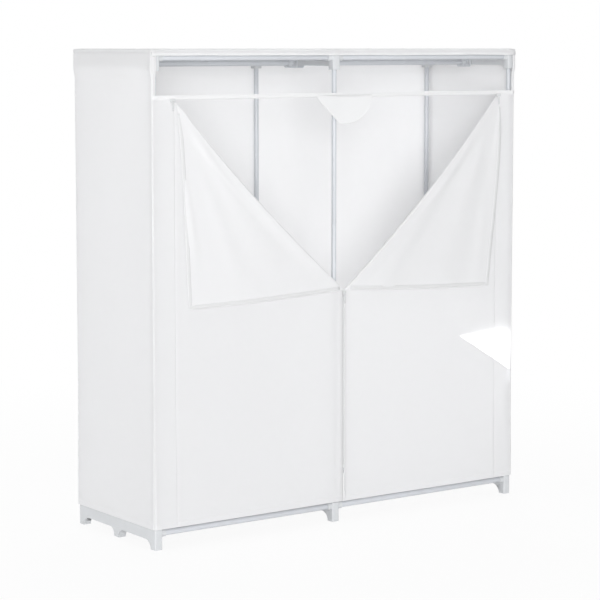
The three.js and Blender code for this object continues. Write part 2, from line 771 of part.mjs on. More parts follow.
function pullTab() {
  const half = pull_width / 2;
  const bar = pull_thickness / 2;
  const low = bar - pull_length + half;
  const outline = new THREE.Shape();
  outline.moveTo(-half, bar);
  outline.lineTo(-half, low);
  outline.absarc(0, low, half, Math.PI, 2 * Math.PI, false);
  outline.lineTo(half, bar);
  outline.closePath();
  const window_half = pull_window_width / 2;
  const opening = new THREE.Path();
  opening.moveTo(-window_half, -bar);
  opening.lineTo(window_half, -bar);
  opening.lineTo(window_half, -bar - pull_window_height);
  opening.lineTo(-window_half, -bar - pull_window_height);
  opening.closePath();
  outline.holes.push(opening);
  const tip_hole = new THREE.Path();
  tip_hole.absarc(0, low, pull_tip_hole / 2, 0, 2 * Math.PI, true);
  outline.holes.push(tip_hole);
  return alongY(outline, pull_axis_y - bar, pull_thickness, 8);
}

function addSlider(name, x, z, turn) {
  addPiece(`${name}_slider`, slider(turn), slider_metal).position.set(x, 0, z);
  addPiece(`${name}_pull`, pullTab(), slider_metal).position.set(x, 0, z);
}
addSlider('centre_zip', 0, centre_slider_height, 0);
addSlider('top_left_zip', -top_slider_offset, zip_height, Math.PI / 2);
addSlider('top_right_zip', top_slider_offset, zip_height, -Math.PI / 2);

export default wardrobe;
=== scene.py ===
import math

import bmesh
import bpy
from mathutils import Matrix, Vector, noise


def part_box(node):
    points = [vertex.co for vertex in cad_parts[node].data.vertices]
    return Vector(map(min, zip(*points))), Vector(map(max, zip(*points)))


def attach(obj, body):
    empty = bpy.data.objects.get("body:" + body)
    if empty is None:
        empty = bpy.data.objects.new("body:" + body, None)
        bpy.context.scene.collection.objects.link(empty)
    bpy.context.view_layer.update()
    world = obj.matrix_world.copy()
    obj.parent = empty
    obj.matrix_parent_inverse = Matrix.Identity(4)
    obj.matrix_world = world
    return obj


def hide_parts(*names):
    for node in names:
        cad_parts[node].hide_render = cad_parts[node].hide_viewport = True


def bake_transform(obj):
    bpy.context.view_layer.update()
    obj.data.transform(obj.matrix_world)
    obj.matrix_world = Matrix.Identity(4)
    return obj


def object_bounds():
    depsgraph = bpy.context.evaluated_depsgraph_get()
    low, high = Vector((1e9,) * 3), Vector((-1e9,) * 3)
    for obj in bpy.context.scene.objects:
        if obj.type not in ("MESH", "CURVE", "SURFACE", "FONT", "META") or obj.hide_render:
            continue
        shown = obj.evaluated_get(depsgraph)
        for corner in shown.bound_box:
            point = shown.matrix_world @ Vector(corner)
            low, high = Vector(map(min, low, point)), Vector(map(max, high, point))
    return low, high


bl_info = {
    "name": "Fabric wardrobe",
    "version": (1, 0, 0),
    "blender": (4, 5, 0),
    "location": "3D View > Sidebar > Wardrobe",
    "description": "Builds a portable fabric wardrobe with folded zip doors round its tube frame",
    "category": "Object",
}

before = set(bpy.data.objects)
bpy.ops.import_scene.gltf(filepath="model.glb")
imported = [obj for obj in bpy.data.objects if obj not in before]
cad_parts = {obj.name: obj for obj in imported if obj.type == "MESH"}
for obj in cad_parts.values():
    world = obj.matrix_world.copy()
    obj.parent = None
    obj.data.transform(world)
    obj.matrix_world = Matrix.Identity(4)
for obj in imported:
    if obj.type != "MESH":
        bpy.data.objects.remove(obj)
CAD_LOW, CAD_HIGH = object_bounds()

# Places of the frame and the cover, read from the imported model, in metres
BORDER_LOW, BORDER_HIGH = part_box("cover_front_border_left")
DOOR_LOW, DOOR_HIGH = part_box("door_panel_left")
ROOF_LOW, ROOF_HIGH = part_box("cover_roof")
BAND_LOW, BAND_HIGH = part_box("cover_front_band")
STRIP_LOW, STRIP_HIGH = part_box("header_strip")
PATCH_LOW, PATCH_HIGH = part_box("header_patch")

HALF_WIDTH = CAD_HIGH.x
HALF_DEPTH = ROOF_HIGH.y
TOP = ROOF_HIGH.z
CAD_CLOTH = ROOF_HIGH.z - ROOF_LOW.z
SEAM_GAP = 0.0003
WALL_X = -BORDER_LOW.x + CAD_CLOTH + SEAM_GAP
FRONT_Y = BORDER_LOW.y
WALL_Y = -FRONT_Y
HOOD_BULGE = HALF_WIDTH - WALL_X
CLOTH_Y = FRONT_Y + CAD_CLOTH / 2
HEM_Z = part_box("cover_back_wall")[0].z
STRIP_BOTTOM = STRIP_LOW.z
SEAM_X = -(BORDER_HIGH.x + DOOR_LOW.x) / 2
DOOR_EDGE_X = -DOOR_HIGH.x


def colour_setting(name, description, default):
    return bpy.props.FloatVectorProperty(
        name=name, description=description, subtype="COLOR", size=3, default=default, min=0, max=1)


def length_setting(name, description, default, least, most):
    """A length in metres with its least and largest value."""
    return bpy.props.FloatProperty(
        name=name, description=description, unit="LENGTH", default=default, min=least, max=most)


class ClothSettings(bpy.types.PropertyGroup):
    colour: colour_setting("Cloth colour", "Colour of the non-woven cover", (0.925, 0.925, 0.935))
    strip_colour: colour_setting(
        "Strip colour", "Colour of the header strip and the patch", (0.895, 0.897, 0.903))
    thickness: length_setting("Thickness", "Thickness of the cloth", 0.0006, 0.0002, 0.002)
    pitch: length_setting(
        "Grid pitch", "Distance between the points of a cloth's mesh", 0.012, 0.006, 0.05)
    bond_pitch: length_setting(
        "Bond point pitch", "Distance between the pressed points of the non-woven cloth",
        0.0016, 0.0005, 0.01)
    ripple: length_setting(
        "Ripple height", "Height of the soft waves in the hanging cloth", 0.0016, 0, 0.004)
    corner_radius: length_setting(
        "Corner radius", "Radius of the cover round the frame's upright corners", 0.0025, 0.002, 0.02)
    hem: length_setting("Hem height", "Height of the doubled hem", 0.018, 0.005, 0.05)


class FlapSettings(bpy.types.PropertyGroup):
    sag: length_setting(
        "Fold sag", "How far the fold hangs below the straight diagonal at its middle", 0.034, 0, 0.08)
    roll_radius: length_setting(
        "Roll radius", "Largest radius of the soft roll along the fold", 0.0055, 0.002, 0.02)
    corner_height: length_setting(
        "Corner height", "Height of the flaps' free corners above the floor", 0.774, 0.5, 1.2)
    corner_x: length_setting(
        "Corner place", "Distance of the free corners from the middle", 0.633, 0.4, 0.7)


class FrameSettings(bpy.types.PropertyGroup):
    plastic_colour: colour_setting(
        "Plastic colour", "Colour of the moulded cross frames", (0.66, 0.675, 0.69))
    tube_colour: colour_setting("Tube colour", "Colour of the painted steel tubes", (0.63, 0.65, 0.685))
    holder_colour: colour_setting("Holder colour", "Colour of the rod holders", (0.62, 0.64, 0.67))
    bevel: length_setting("Edge radius", "Radius of the mouldings' edges", 0.0009, 0.0002, 0.003)
    tube_sides: bpy.props.IntProperty(
        name="Tube sides", description="Number of faces round a tube", default=40, min=12, max=96)


class ZipSettings(bpy.types.PropertyGroup):
    zip_colour: colour_setting("Zip colour", "Colour of the coil and its tape", (0.86, 0.862, 0.868))
    metal_colour: colour_setting(
        "Slider colour", "Colour of the sliders and their pulls", (0.72, 0.725, 0.735))
    tooth_pitch: length_setting(
        "Coil pitch", "Distance between the turns of the coil", 0.0028, 0.001, 0.01)
    tape_width: length_setting("Tape width", "Width of the zip's tape on each side", 0.013, 0.005, 0.03)


class StageSettings(bpy.types.PropertyGroup):
    floor_colour: colour_setting("Floor colour", "Colour of the plain floor", (0.86, 0.86, 0.86))
    floor_whiteness: bpy.props.FloatProperty(
        name="Floor whiteness", description="How much of the floor is seen as plain white",
        subtype="FACTOR", default=0.92, min=0, max=1)
    ambient: bpy.props.FloatProperty(
        name="Ambient light", description="Strength of the light from all round", default=0.5, min=0, max=2)
    key_power: bpy.props.FloatProperty(
        name="Key light", description="Power of the large light before the wardrobe",
        unit="POWER", default=500, min=0, max=2000)
    lens: bpy.props.FloatProperty(
        name="Lens", description="Focal length of the camera, in millimetres",
        default=125.4, min=20, max=300)


def cloth_settings():
    return bpy.context.scene.wardrobe_cloth


def clear_selection():
    if bpy.context.object is not None and bpy.context.mode != "OBJECT":
        bpy.ops.object.mode_set(mode="OBJECT")
    bpy.ops.object.select_all(action="DESELECT")


def make_active(piece):
    clear_selection()
    piece.select_set(True)
    bpy.context.view_layer.objects.active = piece


def linked(name, data):
    """A new object in the scene's own collection."""
    piece = bpy.data.objects.new(name, data)
    bpy.context.scene.collection.objects.link(piece)
    return piece


def centre_of(node):
    low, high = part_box(node)
    return (low + high) / 2


def assign(piece, body, node):
    """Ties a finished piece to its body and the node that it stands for."""
    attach(piece, body)
    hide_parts(node)


def smooth_rise(value, low, high):
    """Rises smoothly from 0 to 1 between two values."""
    share = min(1.0, max(0.0, (value - low) / (high - low)))
    return share * share * (3 - 2 * share)


def bump(value, middle, half):
    """A soft hump that is 1 at its middle."""
    return math.exp(-((value - middle) / half) ** 2)


def spaced(low, high, pitch, low_steps=(), high_steps=()):
    """Values from low to high about a pitch apart, with chosen small steps at the ends."""
    first, last = low + sum(low_steps), high - sum(high_steps)
    values, at = [low], low
    for step in low_steps:
        at += step
        values.append(at)
    count = max(1, round((last - first) / pitch))
    values += [first + (last - first) * i / count for i in range(1, count + 1)]
    at = last
    for step in reversed(high_steps):
        at += step
        values.append(at)
    return values


# Node groups and materials


def add_node(tree, kind, x=0, y=0, **values):
    node = tree.nodes.new(kind)
    node.location = (x, y)
    for key, value in values.items():
        setattr(node, key, value)
    return node


def set_inputs(node, values):
    for label, value in values.items():
        node.inputs[label].default_value = value


def feed(tree, socket, value):
    """Sets an input, or links it where the value is another node's output."""
    if isinstance(value, bpy.types.NodeSocket):
        tree.links.new(value, socket)
    else:
        socket.default_value = value


def maths(tree, operation, a, b=None, x=0, y=0, clamp=False):
    """A Math node with its inputs set or linked."""
    node = add_node(tree, "ShaderNodeMath", x, y, operation=operation, use_clamp=clamp)
    feed(tree, node.inputs[0], a)
    if b is not None:
        feed(tree, node.inputs[1], b)
    return node.outputs[0]


def mixed(tree, factor, a, b, x=0, y=0):
    """A colour mix of two colours or sockets."""
    node = add_node(tree, "ShaderNodeMix", x, y, data_type="RGBA")
    feed(tree, node.inputs[0], factor)
    feed(tree, node.inputs[6], a)
    feed(tree, node.inputs[7], b)
    return node.outputs[2]


def mixed_shaders(tree, share, first, second, x):
    node = add_node(tree, "ShaderNodeMixShader", x)
    tree.links.new(share, node.inputs[0])
    tree.links.new(first.outputs[0], node.inputs[1])
    tree.links.new(second.outputs[0], node.inputs[2])
    return node.outputs[0]


def noise_texture(tree, place, scale, detail, x, y, roughness=0.5, distortion=0.0):
    node = add_node(tree, "ShaderNodeTexNoise", x, y)
    set_inputs(node, {"Detail": detail, "Roughness": roughness, "Distortion": distortion})
    tree.links.new(place, node.inputs["Vector"])
    feed(tree, node.inputs["Scale"], scale)
    return node.outputs["Fac"]


def new_group(name, numbers):
    """A node group whose inputs are a place and some numbers, and the sockets of these inputs."""
    group = bpy.data.node_groups.new(name, "ShaderNodeTree")
    group.interface.new_socket(name="Place", in_out="INPUT", socket_type="NodeSocketVector")
    for label, value in numbers.items():
        socket = group.interface.new_socket(name=label, in_out="INPUT", socket_type="NodeSocketFloat")
        socket.default_value = value
    return group, add_node(group, "NodeGroupInput", -900).outputs


def closed_group(group, results):
    """Gives a group an output for each result."""
    for label in results:
        group.interface.new_socket(name=label, in_out="OUTPUT", socket_type="NodeSocketFloat")
    out = add_node(group, "NodeGroupOutput", 700)
    for label, result in results.items():
        group.links.new(result, out.inputs[label])
    return group


NO_SEAM = 1.0
FIBRES_PER_METRE = (1900, 420, 1)


def bonded_web_group():
    """Pressed bond points, cloudy fibre density and loose fibres of a non-woven cloth."""
    group, given = new_group("bonded_web", {"Point Pitch": 0.0016, "Cloud Size": 0.03})
    per_metre = maths(group, "DIVIDE", 1.0, given["Point Pitch"], -700, 200)
    points = add_node(group, "ShaderNodeTexVoronoi", -500, 250, voronoi_dimensions="2D")
    points.inputs["Randomness"].default_value = 0.12
    turned = add_node(group, "ShaderNodeMapping", -700, 0)
    turned.inputs["Rotation"].default_value = (0, 0, math.radians(45))
    group.links.new(given["Place"], turned.inputs["Vector"])
    group.links.new(turned.outputs[0], points.inputs["Vector"])
    group.links.new(per_metre, points.inputs["Scale"])
    off_point = maths(group, "MULTIPLY", points.outputs["Distance"], 3.2, -300, 250)
    dots = maths(group, "SUBTRACT", 1.0, off_point, -150, 250, clamp=True)
    cloud_scale = maths(group, "DIVIDE", 1.0, given["Cloud Size"], -700, -200)
    cloud = noise_texture(group, given["Place"], cloud_scale, 5, -500, -150, roughness=0.62)
    stretched = add_node(group, "ShaderNodeMapping", -700, -450)
    stretched.inputs["Scale"].default_value = FIBRES_PER_METRE
    group.links.new(given["Place"], stretched.inputs["Vector"])
    fibre = noise_texture(group, stretched.outputs[0], 1, 3, -500, -400, distortion=1.6)
    fibre_height = maths(group, "MULTIPLY", fibre, 0.55, -150, -300)
    dot_depth = maths(group, "MULTIPLY", dots, 0.8, 0, 200)
    height = maths(group, "SUBTRACT", fibre_height, dot_depth, 200, -100)
    return closed_group(group, {"Points": dots, "Cloud": cloud, "Height": height})


def stitch_group():
    """A row of stitches along the lines that the piece's seam attribute gives."""
    group, given = new_group(
        "stitch_row", {"Seam Distance": NO_SEAM, "Stitch Length": 0.004, "Thread Width": 0.0006})
    split = add_node(group, "ShaderNodeSeparateXYZ", -700, 100)
    group.links.new(given["Place"], split.inputs[0])
    along = maths(group, "ADD", split.outputs[0], split.outputs[1], -500, 100)
    turns = maths(group, "DIVIDE", along, given["Stitch Length"], -350, 100)
    share = maths(group, "FRACT", turns, None, -200, 100)
    dash = maths(group, "LESS_THAN", share, 0.72, -50, 100)
    off = maths(group, "ABSOLUTE", given["Seam Distance"], None, -500, -150)
    near = maths(group, "LESS_THAN", off, given["Thread Width"], -350, -150)
    thread = maths(group, "MULTIPLY", dash, near, 150, 100)
    wide = maths(group, "MULTIPLY", given["Thread Width"], 6.0, -350, -350)
    fade = maths(group, "DIVIDE", off, wide, -200, -350)
    pucker = maths(group, "SUBTRACT", 1.0, fade, 0, -350, clamp=True)
    return closed_group(group, {"Thread": thread, "Pucker": pucker})


def moulded_group():
    """Fine grain, faint flow marks and dust of a moulded or painted surface."""
    group, given = new_group("moulded_grain", {"Grain Size": 0.0008, "Mark Size": 0.05})
    grain_scale = maths(group, "DIVIDE", 1.0, given["Grain Size"], -600, 150)
    grain = noise_texture(group, given["Place"], grain_scale, 2, -400, 150)
    mark_scale = maths(group, "DIVIDE", 1.0, given["Mark Size"], -600, -150)
    marks = noise_texture(group, given["Place"], mark_scale, 6, -400, -150, distortion=0.4)
    return closed_group(group, {"Grain": grain, "Marks": marks})


def placed_group(tree, name, maker, values, x, y):
    """A node that uses the group of a name, which its maker builds the first time."""
    node = add_node(tree, "ShaderNodeGroup", x, y)
    node.node_tree = bpy.data.node_groups.get(name) or maker()
    set_inputs(node, values)
    return node


def started_material(name):
    material = bpy.data.materials.new(name)
    material.use_nodes = True
    return material, material.node_tree, material.node_tree.nodes["Principled BSDF"]


def shade(colour, share):
    return (*[c * share for c in colour], 1)


def bumped(tree, shader, height, distance, strength):
    node = add_node(tree, "ShaderNodeBump", -200, -400)
    set_inputs(node, {"Distance": distance, "Strength": strength})
    tree.links.new(height, node.inputs["Height"])
    tree.links.new(node.outputs["Normal"], shader.inputs["Normal"])


WEB_DEPTH = 0.00012
GLOW_RADIUS = 0.01


def cloth_material(name, colour, point_pitch, roughness, glow):
    """White non-woven cloth with pressed points, cloudy density and sewn rows."""
    found = bpy.data.materials.get(name)
    if found:
        return found
    material, tree, shader = started_material(name)
    place = add_node(tree, "ShaderNodeUVMap", -1100, 100, uv_map="cloth")
    seam = add_node(tree, "ShaderNodeAttribute", -1100, -250, attribute_name="seam_distance")
    web = placed_group(tree, "bonded_web", bonded_web_group, {"Point Pitch": point_pitch}, -850, 150)
    row = placed_group(tree, "stitch_row", stitch_group, {}, -850, -200)
    tree.links.new(place.outputs[0], web.inputs["Place"])
    tree.links.new(place.outputs[0], row.inputs["Place"])
    tree.links.new(seam.outputs["Fac"], row.inputs["Seam Distance"])
    cloudy = mixed(tree, web.outputs["Cloud"], shade(colour, 0.985), shade(colour, 1.0), -600, 250)
    pressed_share = maths(tree, "MULTIPLY", web.outputs["Points"], 0.5, -600, 50)
    pressed = mixed(tree, pressed_share, cloudy, shade(colour, 0.95), -400, 250)
    sewn = mixed(tree, row.outputs["Thread"], pressed, shade(colour, 1.03), -200, 250)
    tree.links.new(sewn, shader.inputs["Base Color"])
    polished = maths(tree, "MULTIPLY", web.outputs["Points"], 0.15, -400, 0)
    rough = maths(tree, "SUBTRACT", roughness, polished, -200, 0)
    tree.links.new(rough, shader.inputs["Roughness"])
    puckered = maths(tree, "MULTIPLY", row.outputs["Pucker"], -1.6, -600, -250)
    threaded = maths(tree, "MULTIPLY", row.outputs["Thread"], 2.4, -600, -400)
    drawn_in = maths(tree, "ADD", web.outputs["Height"], puckered, -400, -250)
    height = maths(tree, "ADD", drawn_in, threaded, -300, -400)
    bumped(tree, shader, height, WEB_DEPTH, 0.5)
    set_inputs(shader, {
        "Specular IOR Level": 0.25, "Sheen Weight": 0.05, "Subsurface Weight": glow,
        "Subsurface Radius": (GLOW_RADIUS,) * 3, "Subsurface Scale": 1.0})
    return material


ROUGHNESS_SPREAD = 0.08


def hard_material(name, colour, roughness, grain_size, grain_depth, metallic=0.0, coat=0.0):
    """Moulded plastic, painted steel or plated zinc with fine grain and faint marks."""
    found = bpy.data.materials.get(name)
    if found:
        return found
    material, tree, shader = started_material(name)
    place = add_node(tree, "ShaderNodeTexCoord", -900, 0)
    grain = placed_group(tree, "moulded_grain", moulded_group, {"Grain Size": grain_size}, -650, 0)
    tree.links.new(place.outputs["Object"], grain.inputs["Place"])
    tinted = mixed(tree, grain.outputs["Marks"], shade(colour, 0.94), shade(colour, 1.05), -350, 200)
    tree.links.new(tinted, shader.inputs["Base Color"])
    marked = maths(tree, "MULTIPLY", grain.outputs["Marks"], 2 * ROUGHNESS_SPREAD, -450, 0)
    rough = maths(tree, "ADD", roughness - ROUGHNESS_SPREAD, marked, -250, 0)
    tree.links.new(rough, shader.inputs["Roughness"])
    bumped(tree, shader, grain.outputs["Grain"], grain_depth, 0.6)
    set_inputs(shader, {"Metallic": metallic, "Coat Weight": coat, "Coat Roughness": 0.25})
    return material


def cover_cloth():
    settings = cloth_settings()
    return cloth_material("nonwoven_cloth", settings.colour, settings.bond_pitch, roughness=0.9, glow=0.4)


def folded_cloth():
    """The same cloth where it lies double, so that less light comes through it."""
    settings = cloth_settings()
    return cloth_material("folded_cloth", settings.colour, settings.bond_pitch, roughness=0.9, glow=0.24)


def strip_cloth():
    settings = cloth_settings()
    weave_pitch = settings.bond_pitch * 0.7
    return cloth_material("woven_strip", settings.strip_colour, weave_pitch, roughness=0.84, glow=0.32)


def zip_fabric():
    settings = bpy.context.scene.wardrobe_zip
    weave_pitch = settings.tooth_pitch * 0.35
    return cloth_material("zip_fabric", settings.zip_colour, weave_pitch, roughness=0.7, glow=0.25)


def frame_plastic():
    colour = bpy.context.scene.wardrobe_frame.plastic_colour
    return hard_material("moulded_plastic", colour, roughness=0.5, grain_size=0.0007, grain_depth=0.00005)


def holder_plastic():
    colour = bpy.context.scene.wardrobe_frame.holder_colour
    return hard_material("holder_moulding", colour, roughness=0.55, grain_size=0.0007, grain_depth=0.00005)


def tube_paint():
    colour = bpy.context.scene.wardrobe_frame.tube_colour
    return hard_material("painted_steel", colour, roughness=0.42, grain_size=0.0016, grain_depth=0.00006,
                         coat=0.3)


def slider_metal():
    colour = bpy.context.scene.wardrobe_zip.metal_colour
    return hard_material("zinc_plating", colour, roughness=0.38, grain_size=0.0006, grain_depth=0.00002,
                         metallic=0.75)


# Cloth pieces


MERGE_REACH = 0.00001


def cloth_mesh(name, points, faces, material, thickness, seam_distance=None, merge=MERGE_REACH):
    """A cloth of points (place, flat x, flat y) and faces, made thick about its middle surface."""
    mesh = bpy.data.meshes.new(name)
    mesh.from_pydata([tuple(p[0]) for p in points], [], faces)
    uv = mesh.uv_layers.new(name="cloth")
    flat = [(p[1], p[2]) for p in points]
    for loop in mesh.loops:
        uv.data[loop.index].uv = flat[loop.vertex_index]
    distances = mesh.attributes.new("seam_distance", "FLOAT", "POINT")
    distances.data.foreach_set(
        "value", [NO_SEAM if seam_distance is None else seam_distance(x, y) for x, y in flat])
    piece = linked(name, mesh)
    make_active(piece)
    bpy.ops.object.mode_set(mode="EDIT")
    bpy.ops.mesh.select_all(action="SELECT")
    bpy.ops.mesh.remove_doubles(threshold=merge)
    bpy.ops.mesh.delete_loose()
    bpy.ops.object.mode_set(mode="OBJECT")
    wall = piece.modifiers.new("cloth_thickness", "SOLIDIFY")
    wall.thickness = thickness
    wall.offset = 0
    bpy.ops.object.modifier_apply(modifier=wall.name)
    bpy.ops.object.shade_smooth()
    piece.data.materials.append(material)
    return piece


def sheet_mesh(name, rows, material, thickness, seam_distance=None):
    """A cloth from rows of (place, flat x, flat y)."""
    count = len(rows[0])
    points = [entry for row in rows for entry in row]
    faces = []
    for j in range(len(rows) - 1):
        for i in range(count - 1):
            a = j * count + i
            faces.append((a, a + 1, a + count + 1, a + count))
    return cloth_mesh(name, points, faces, material, thickness, seam_distance)


def grid_rows(xs, zs, place):
    """Rows of a cloth whose flat places are a grid, with a function that gives the points."""
    return [[(place(x, z), x, z) for x in xs] for z in zs]


def turned_over(rows):
    """The same rows with the cloth's other face outwards."""
    return [list(reversed(row)) for row in rows]


def wave(x, z, width, height, offset):
    """Smooth noise over a cloth, longer along the height than across."""
    return noise.noise(Vector((x / width, z / height, offset)))


def hanging_ripple(x, z, offset, amount):
    """Soft waves of a light cloth that hangs from its top edge."""
    broad = 0.6 * wave(x, z, 0.21, 0.55, offset)
    drag = 0.3 * wave(x + 0.35 * z, z, 0.09, 0.3, offset + 7)
    fine = 0.1 * wave(x, z, 0.03, 0.05, offset + 13)
    return amount * (broad + drag + fine)


def rounded_run(s, length, radius, first, last):
    """Along a wall with rounded ends: the place along, the depth inwards and the lean of its normal.

    first and last say which ends turn into the corner's seam, an eighth of a turn away.
    """
    turn = radius * math.pi / 4
    start = turn if first else 0
    straight = length - (radius if first else 0) - (radius if last else 0)
    if first and s < start:
        angle = (start - s) / radius
        return radius - radius * math.sin(angle), radius * (1 - math.cos(angle)), -angle
    if s <= start + straight:
        return (radius if first else 0) + s - start, 0.0, 0.0
    angle = min(math.pi / 4, (s - start - straight) / radius)
    return length - radius + radius * math.sin(angle), radius * (1 - math.cos(angle)), angle


def run_length(length, radius, first, last):
    ends = first + last
    return length - ends * radius + ends * radius * math.pi / 4


HOOD_LOW_Z = TOP - 0.07
CREASE_Z = HOOD_LOW_Z - 0.022
HOOD_ROLL = 0.0012
CREASE_DEPTH = 0.0008
SEAM_STEPS = (0.0008, 0.0012, 0.002, 0.0025)
HEM_STEPS = (0.001, 0.0165, 0.0012, 0.0013)
FLARE = 0.0038
FLARE_TOP_Z = 0.5
HEM_SWELL = 0.0005
HEM_GROOVE = 0.0004
SEAM_DEPTH = 0.0017
SEAM_ROLL = 0.0004
HALF_CLOTH = CAD_CLOTH / 2


def hood_shape(z):
    """How far the cover stands out of its wall plane near the top frames."""
    bulge = HOOD_BULGE * smooth_rise(z, CREASE_Z, HOOD_LOW_Z)
    return bulge + HOOD_ROLL * bump(z, HOOD_LOW_Z + 0.012, 0.014) - CREASE_DEPTH * bump(z, CREASE_Z, 0.006)


def flare(z, from_zip):
    """How far the loose lower end of the cover stands out, away from the centre zip that holds it in."""
    return FLARE * (1 - smooth_rise(z, HEM_Z, FLARE_TOP_Z)) * smooth_rise(from_zip, 0.02, 0.5)


def hem_shape(z, from_zip=1.0):
    """The flare, and the doubled hem that stands out a little and has a sewn groove at its top."""
    hem = cloth_settings().hem
    swell = HEM_SWELL * (1 - smooth_rise(z - HEM_Z, hem - 0.001, hem + 0.001))
    return flare(z, from_zip) + swell - HEM_GROOVE * bump(z - HEM_Z, hem, 0.0012)


def corner_seam(edge):
    """How far the cloth is drawn in at a sewn corner, with a soft roll beside it."""
    return SEAM_DEPTH * bump(edge, 0, 0.0017) - SEAM_ROLL * bump(edge, 0.0045, 0.002)


CORNER_HEM = 0.013


def wall_rows(origin, along, outward, length, top, ends, offset, ripple=1.0, rise=()):
    """Rows of a wall's points. origin is its first sharp corner, at floor level, on the outer face.

    Above the wall's top, rise gives the heights of the corner hem that goes on alone.
    """
    settings = cloth_settings()
    first, last = ends
    radius = settings.corner_radius
    total = run_length(length, radius, first, last)
    columns = spaced(0, total, settings.pitch, SEAM_STEPS, tuple(reversed(SEAM_STEPS)))
    heights = spaced(HEM_Z, top, settings.pitch, HEM_STEPS, (0.003,)) + list(rise)
    narrow = CORNER_HEM / total
    rows = []
    for t in heights:
        row = []
        shown = columns
        if t > top:
            shown = [s * narrow if first else total - (total - s) * narrow for s in columns]
        for s in shown:
            place, depth, lean = rounded_run(s, length, radius, first, last)
            edge = min(s, total - s)
            held = smooth_rise(edge, 0, 0.05) * smooth_rise(top - t, 0, 0.06)
            held *= smooth_rise(t - HEM_Z, -0.03, 0.08)
            out = hood_shape(t) + hem_shape(t) - HALF_CLOTH
            out += ripple * held * hanging_ripple(s, t, offset, settings.ripple)
            if (first and s < 0.01) or (last and total - s < 0.01):
                out -= corner_seam(edge)
            point = (origin + along * (place + out * math.sin(lean))
                     + outward * (out * math.cos(lean) - depth) + Vector((0, 0, t)))
            row.append((point, s, t))
        rows.append(row)
    return rows, total


def edge_rows(*lines):
    """Distance to the nearest sewn row. Each line is ("x" or "y", place)."""
    def distance(x, y):
        return min(abs((x if axis == "x" else y) - at) for axis, at in lines)
    return distance


SEWN_ROWS = (0.004, 0.02)


def add_wall(name, node, origin, along, outward, length, top, ends, offset, **more):
    """Hangs an upright sheet. ends says at which of its two ends it turns into a corner seam."""
    settings = cloth_settings()
    origin, along, outward = Vector(origin), Vector(along), Vector(outward)
    rows, total = wall_rows(origin, along, outward, length, top, ends, offset, **more)
    lines = [("y", HEM_Z + settings.hem - 0.001)]
    lines += [("x", inset) for inset in SEWN_ROWS if ends[0]]
    lines += [("x", total - inset) for inset in SEWN_ROWS if ends[1]]
    piece = sheet_mesh(name, rows, cover_cloth(), settings.thickness, edge_rows(*lines))
    assign(piece, "wardrobe", node)


PLACES = ("left", "middle", "right")
ROOF_SKIRT_Z = TOP - 0.012
ROOF_EDGE_RADIUS = 0.007
ROOF_EDGE_STEPS = (0.002, 0.002, 0.0025, 0.003, 0.003)
ROOF_SAG = 0.004
ROOF_WAVE = 0.0008
BAND_INSET = 0.002
BAND_TUCK = 0.004
BAND_BEHIND = 0.0016
BAND_PUFF = 0.0006
BAND_DIP = 0.0012
BAND_SEAM = 0.0075
BAND_STEPS = (0, 0.0015, 0.004, 0.007, 0.0085)


class WARDROBE_OT_walls(bpy.types.Operator):
    """Hangs the left, right and back walls from the roof"""
    bl_idname = "wardrobe.walls"
    bl_label = "Walls"

    def execute(self, context):
        depth, width = 2 * WALL_Y, 2 * WALL_X
        shared = {"top": ROOF_SKIRT_Z, "ends": (True, True)}
        add_wall("left_wall_cloth", "cover_left_wall", (-WALL_X, WALL_Y, 0), (0, -1, 0), (-1, 0, 0), depth,
                 offset=3.1, ripple=1.9, **shared)
        add_wall("right_wall_cloth", "cover_right_wall", (WALL_X, -WALL_Y, 0), (0, 1, 0), (1, 0, 0), depth,
                 offset=11.7, ripple=1.9, **shared)
        add_wall("back_wall_cloth", "cover_back_wall", (WALL_X, WALL_Y, 0), (-1, 0, 0), (0, 1, 0), width,
                 offset=23.9, ripple=2.1, **shared)
        return {"FINISHED"}


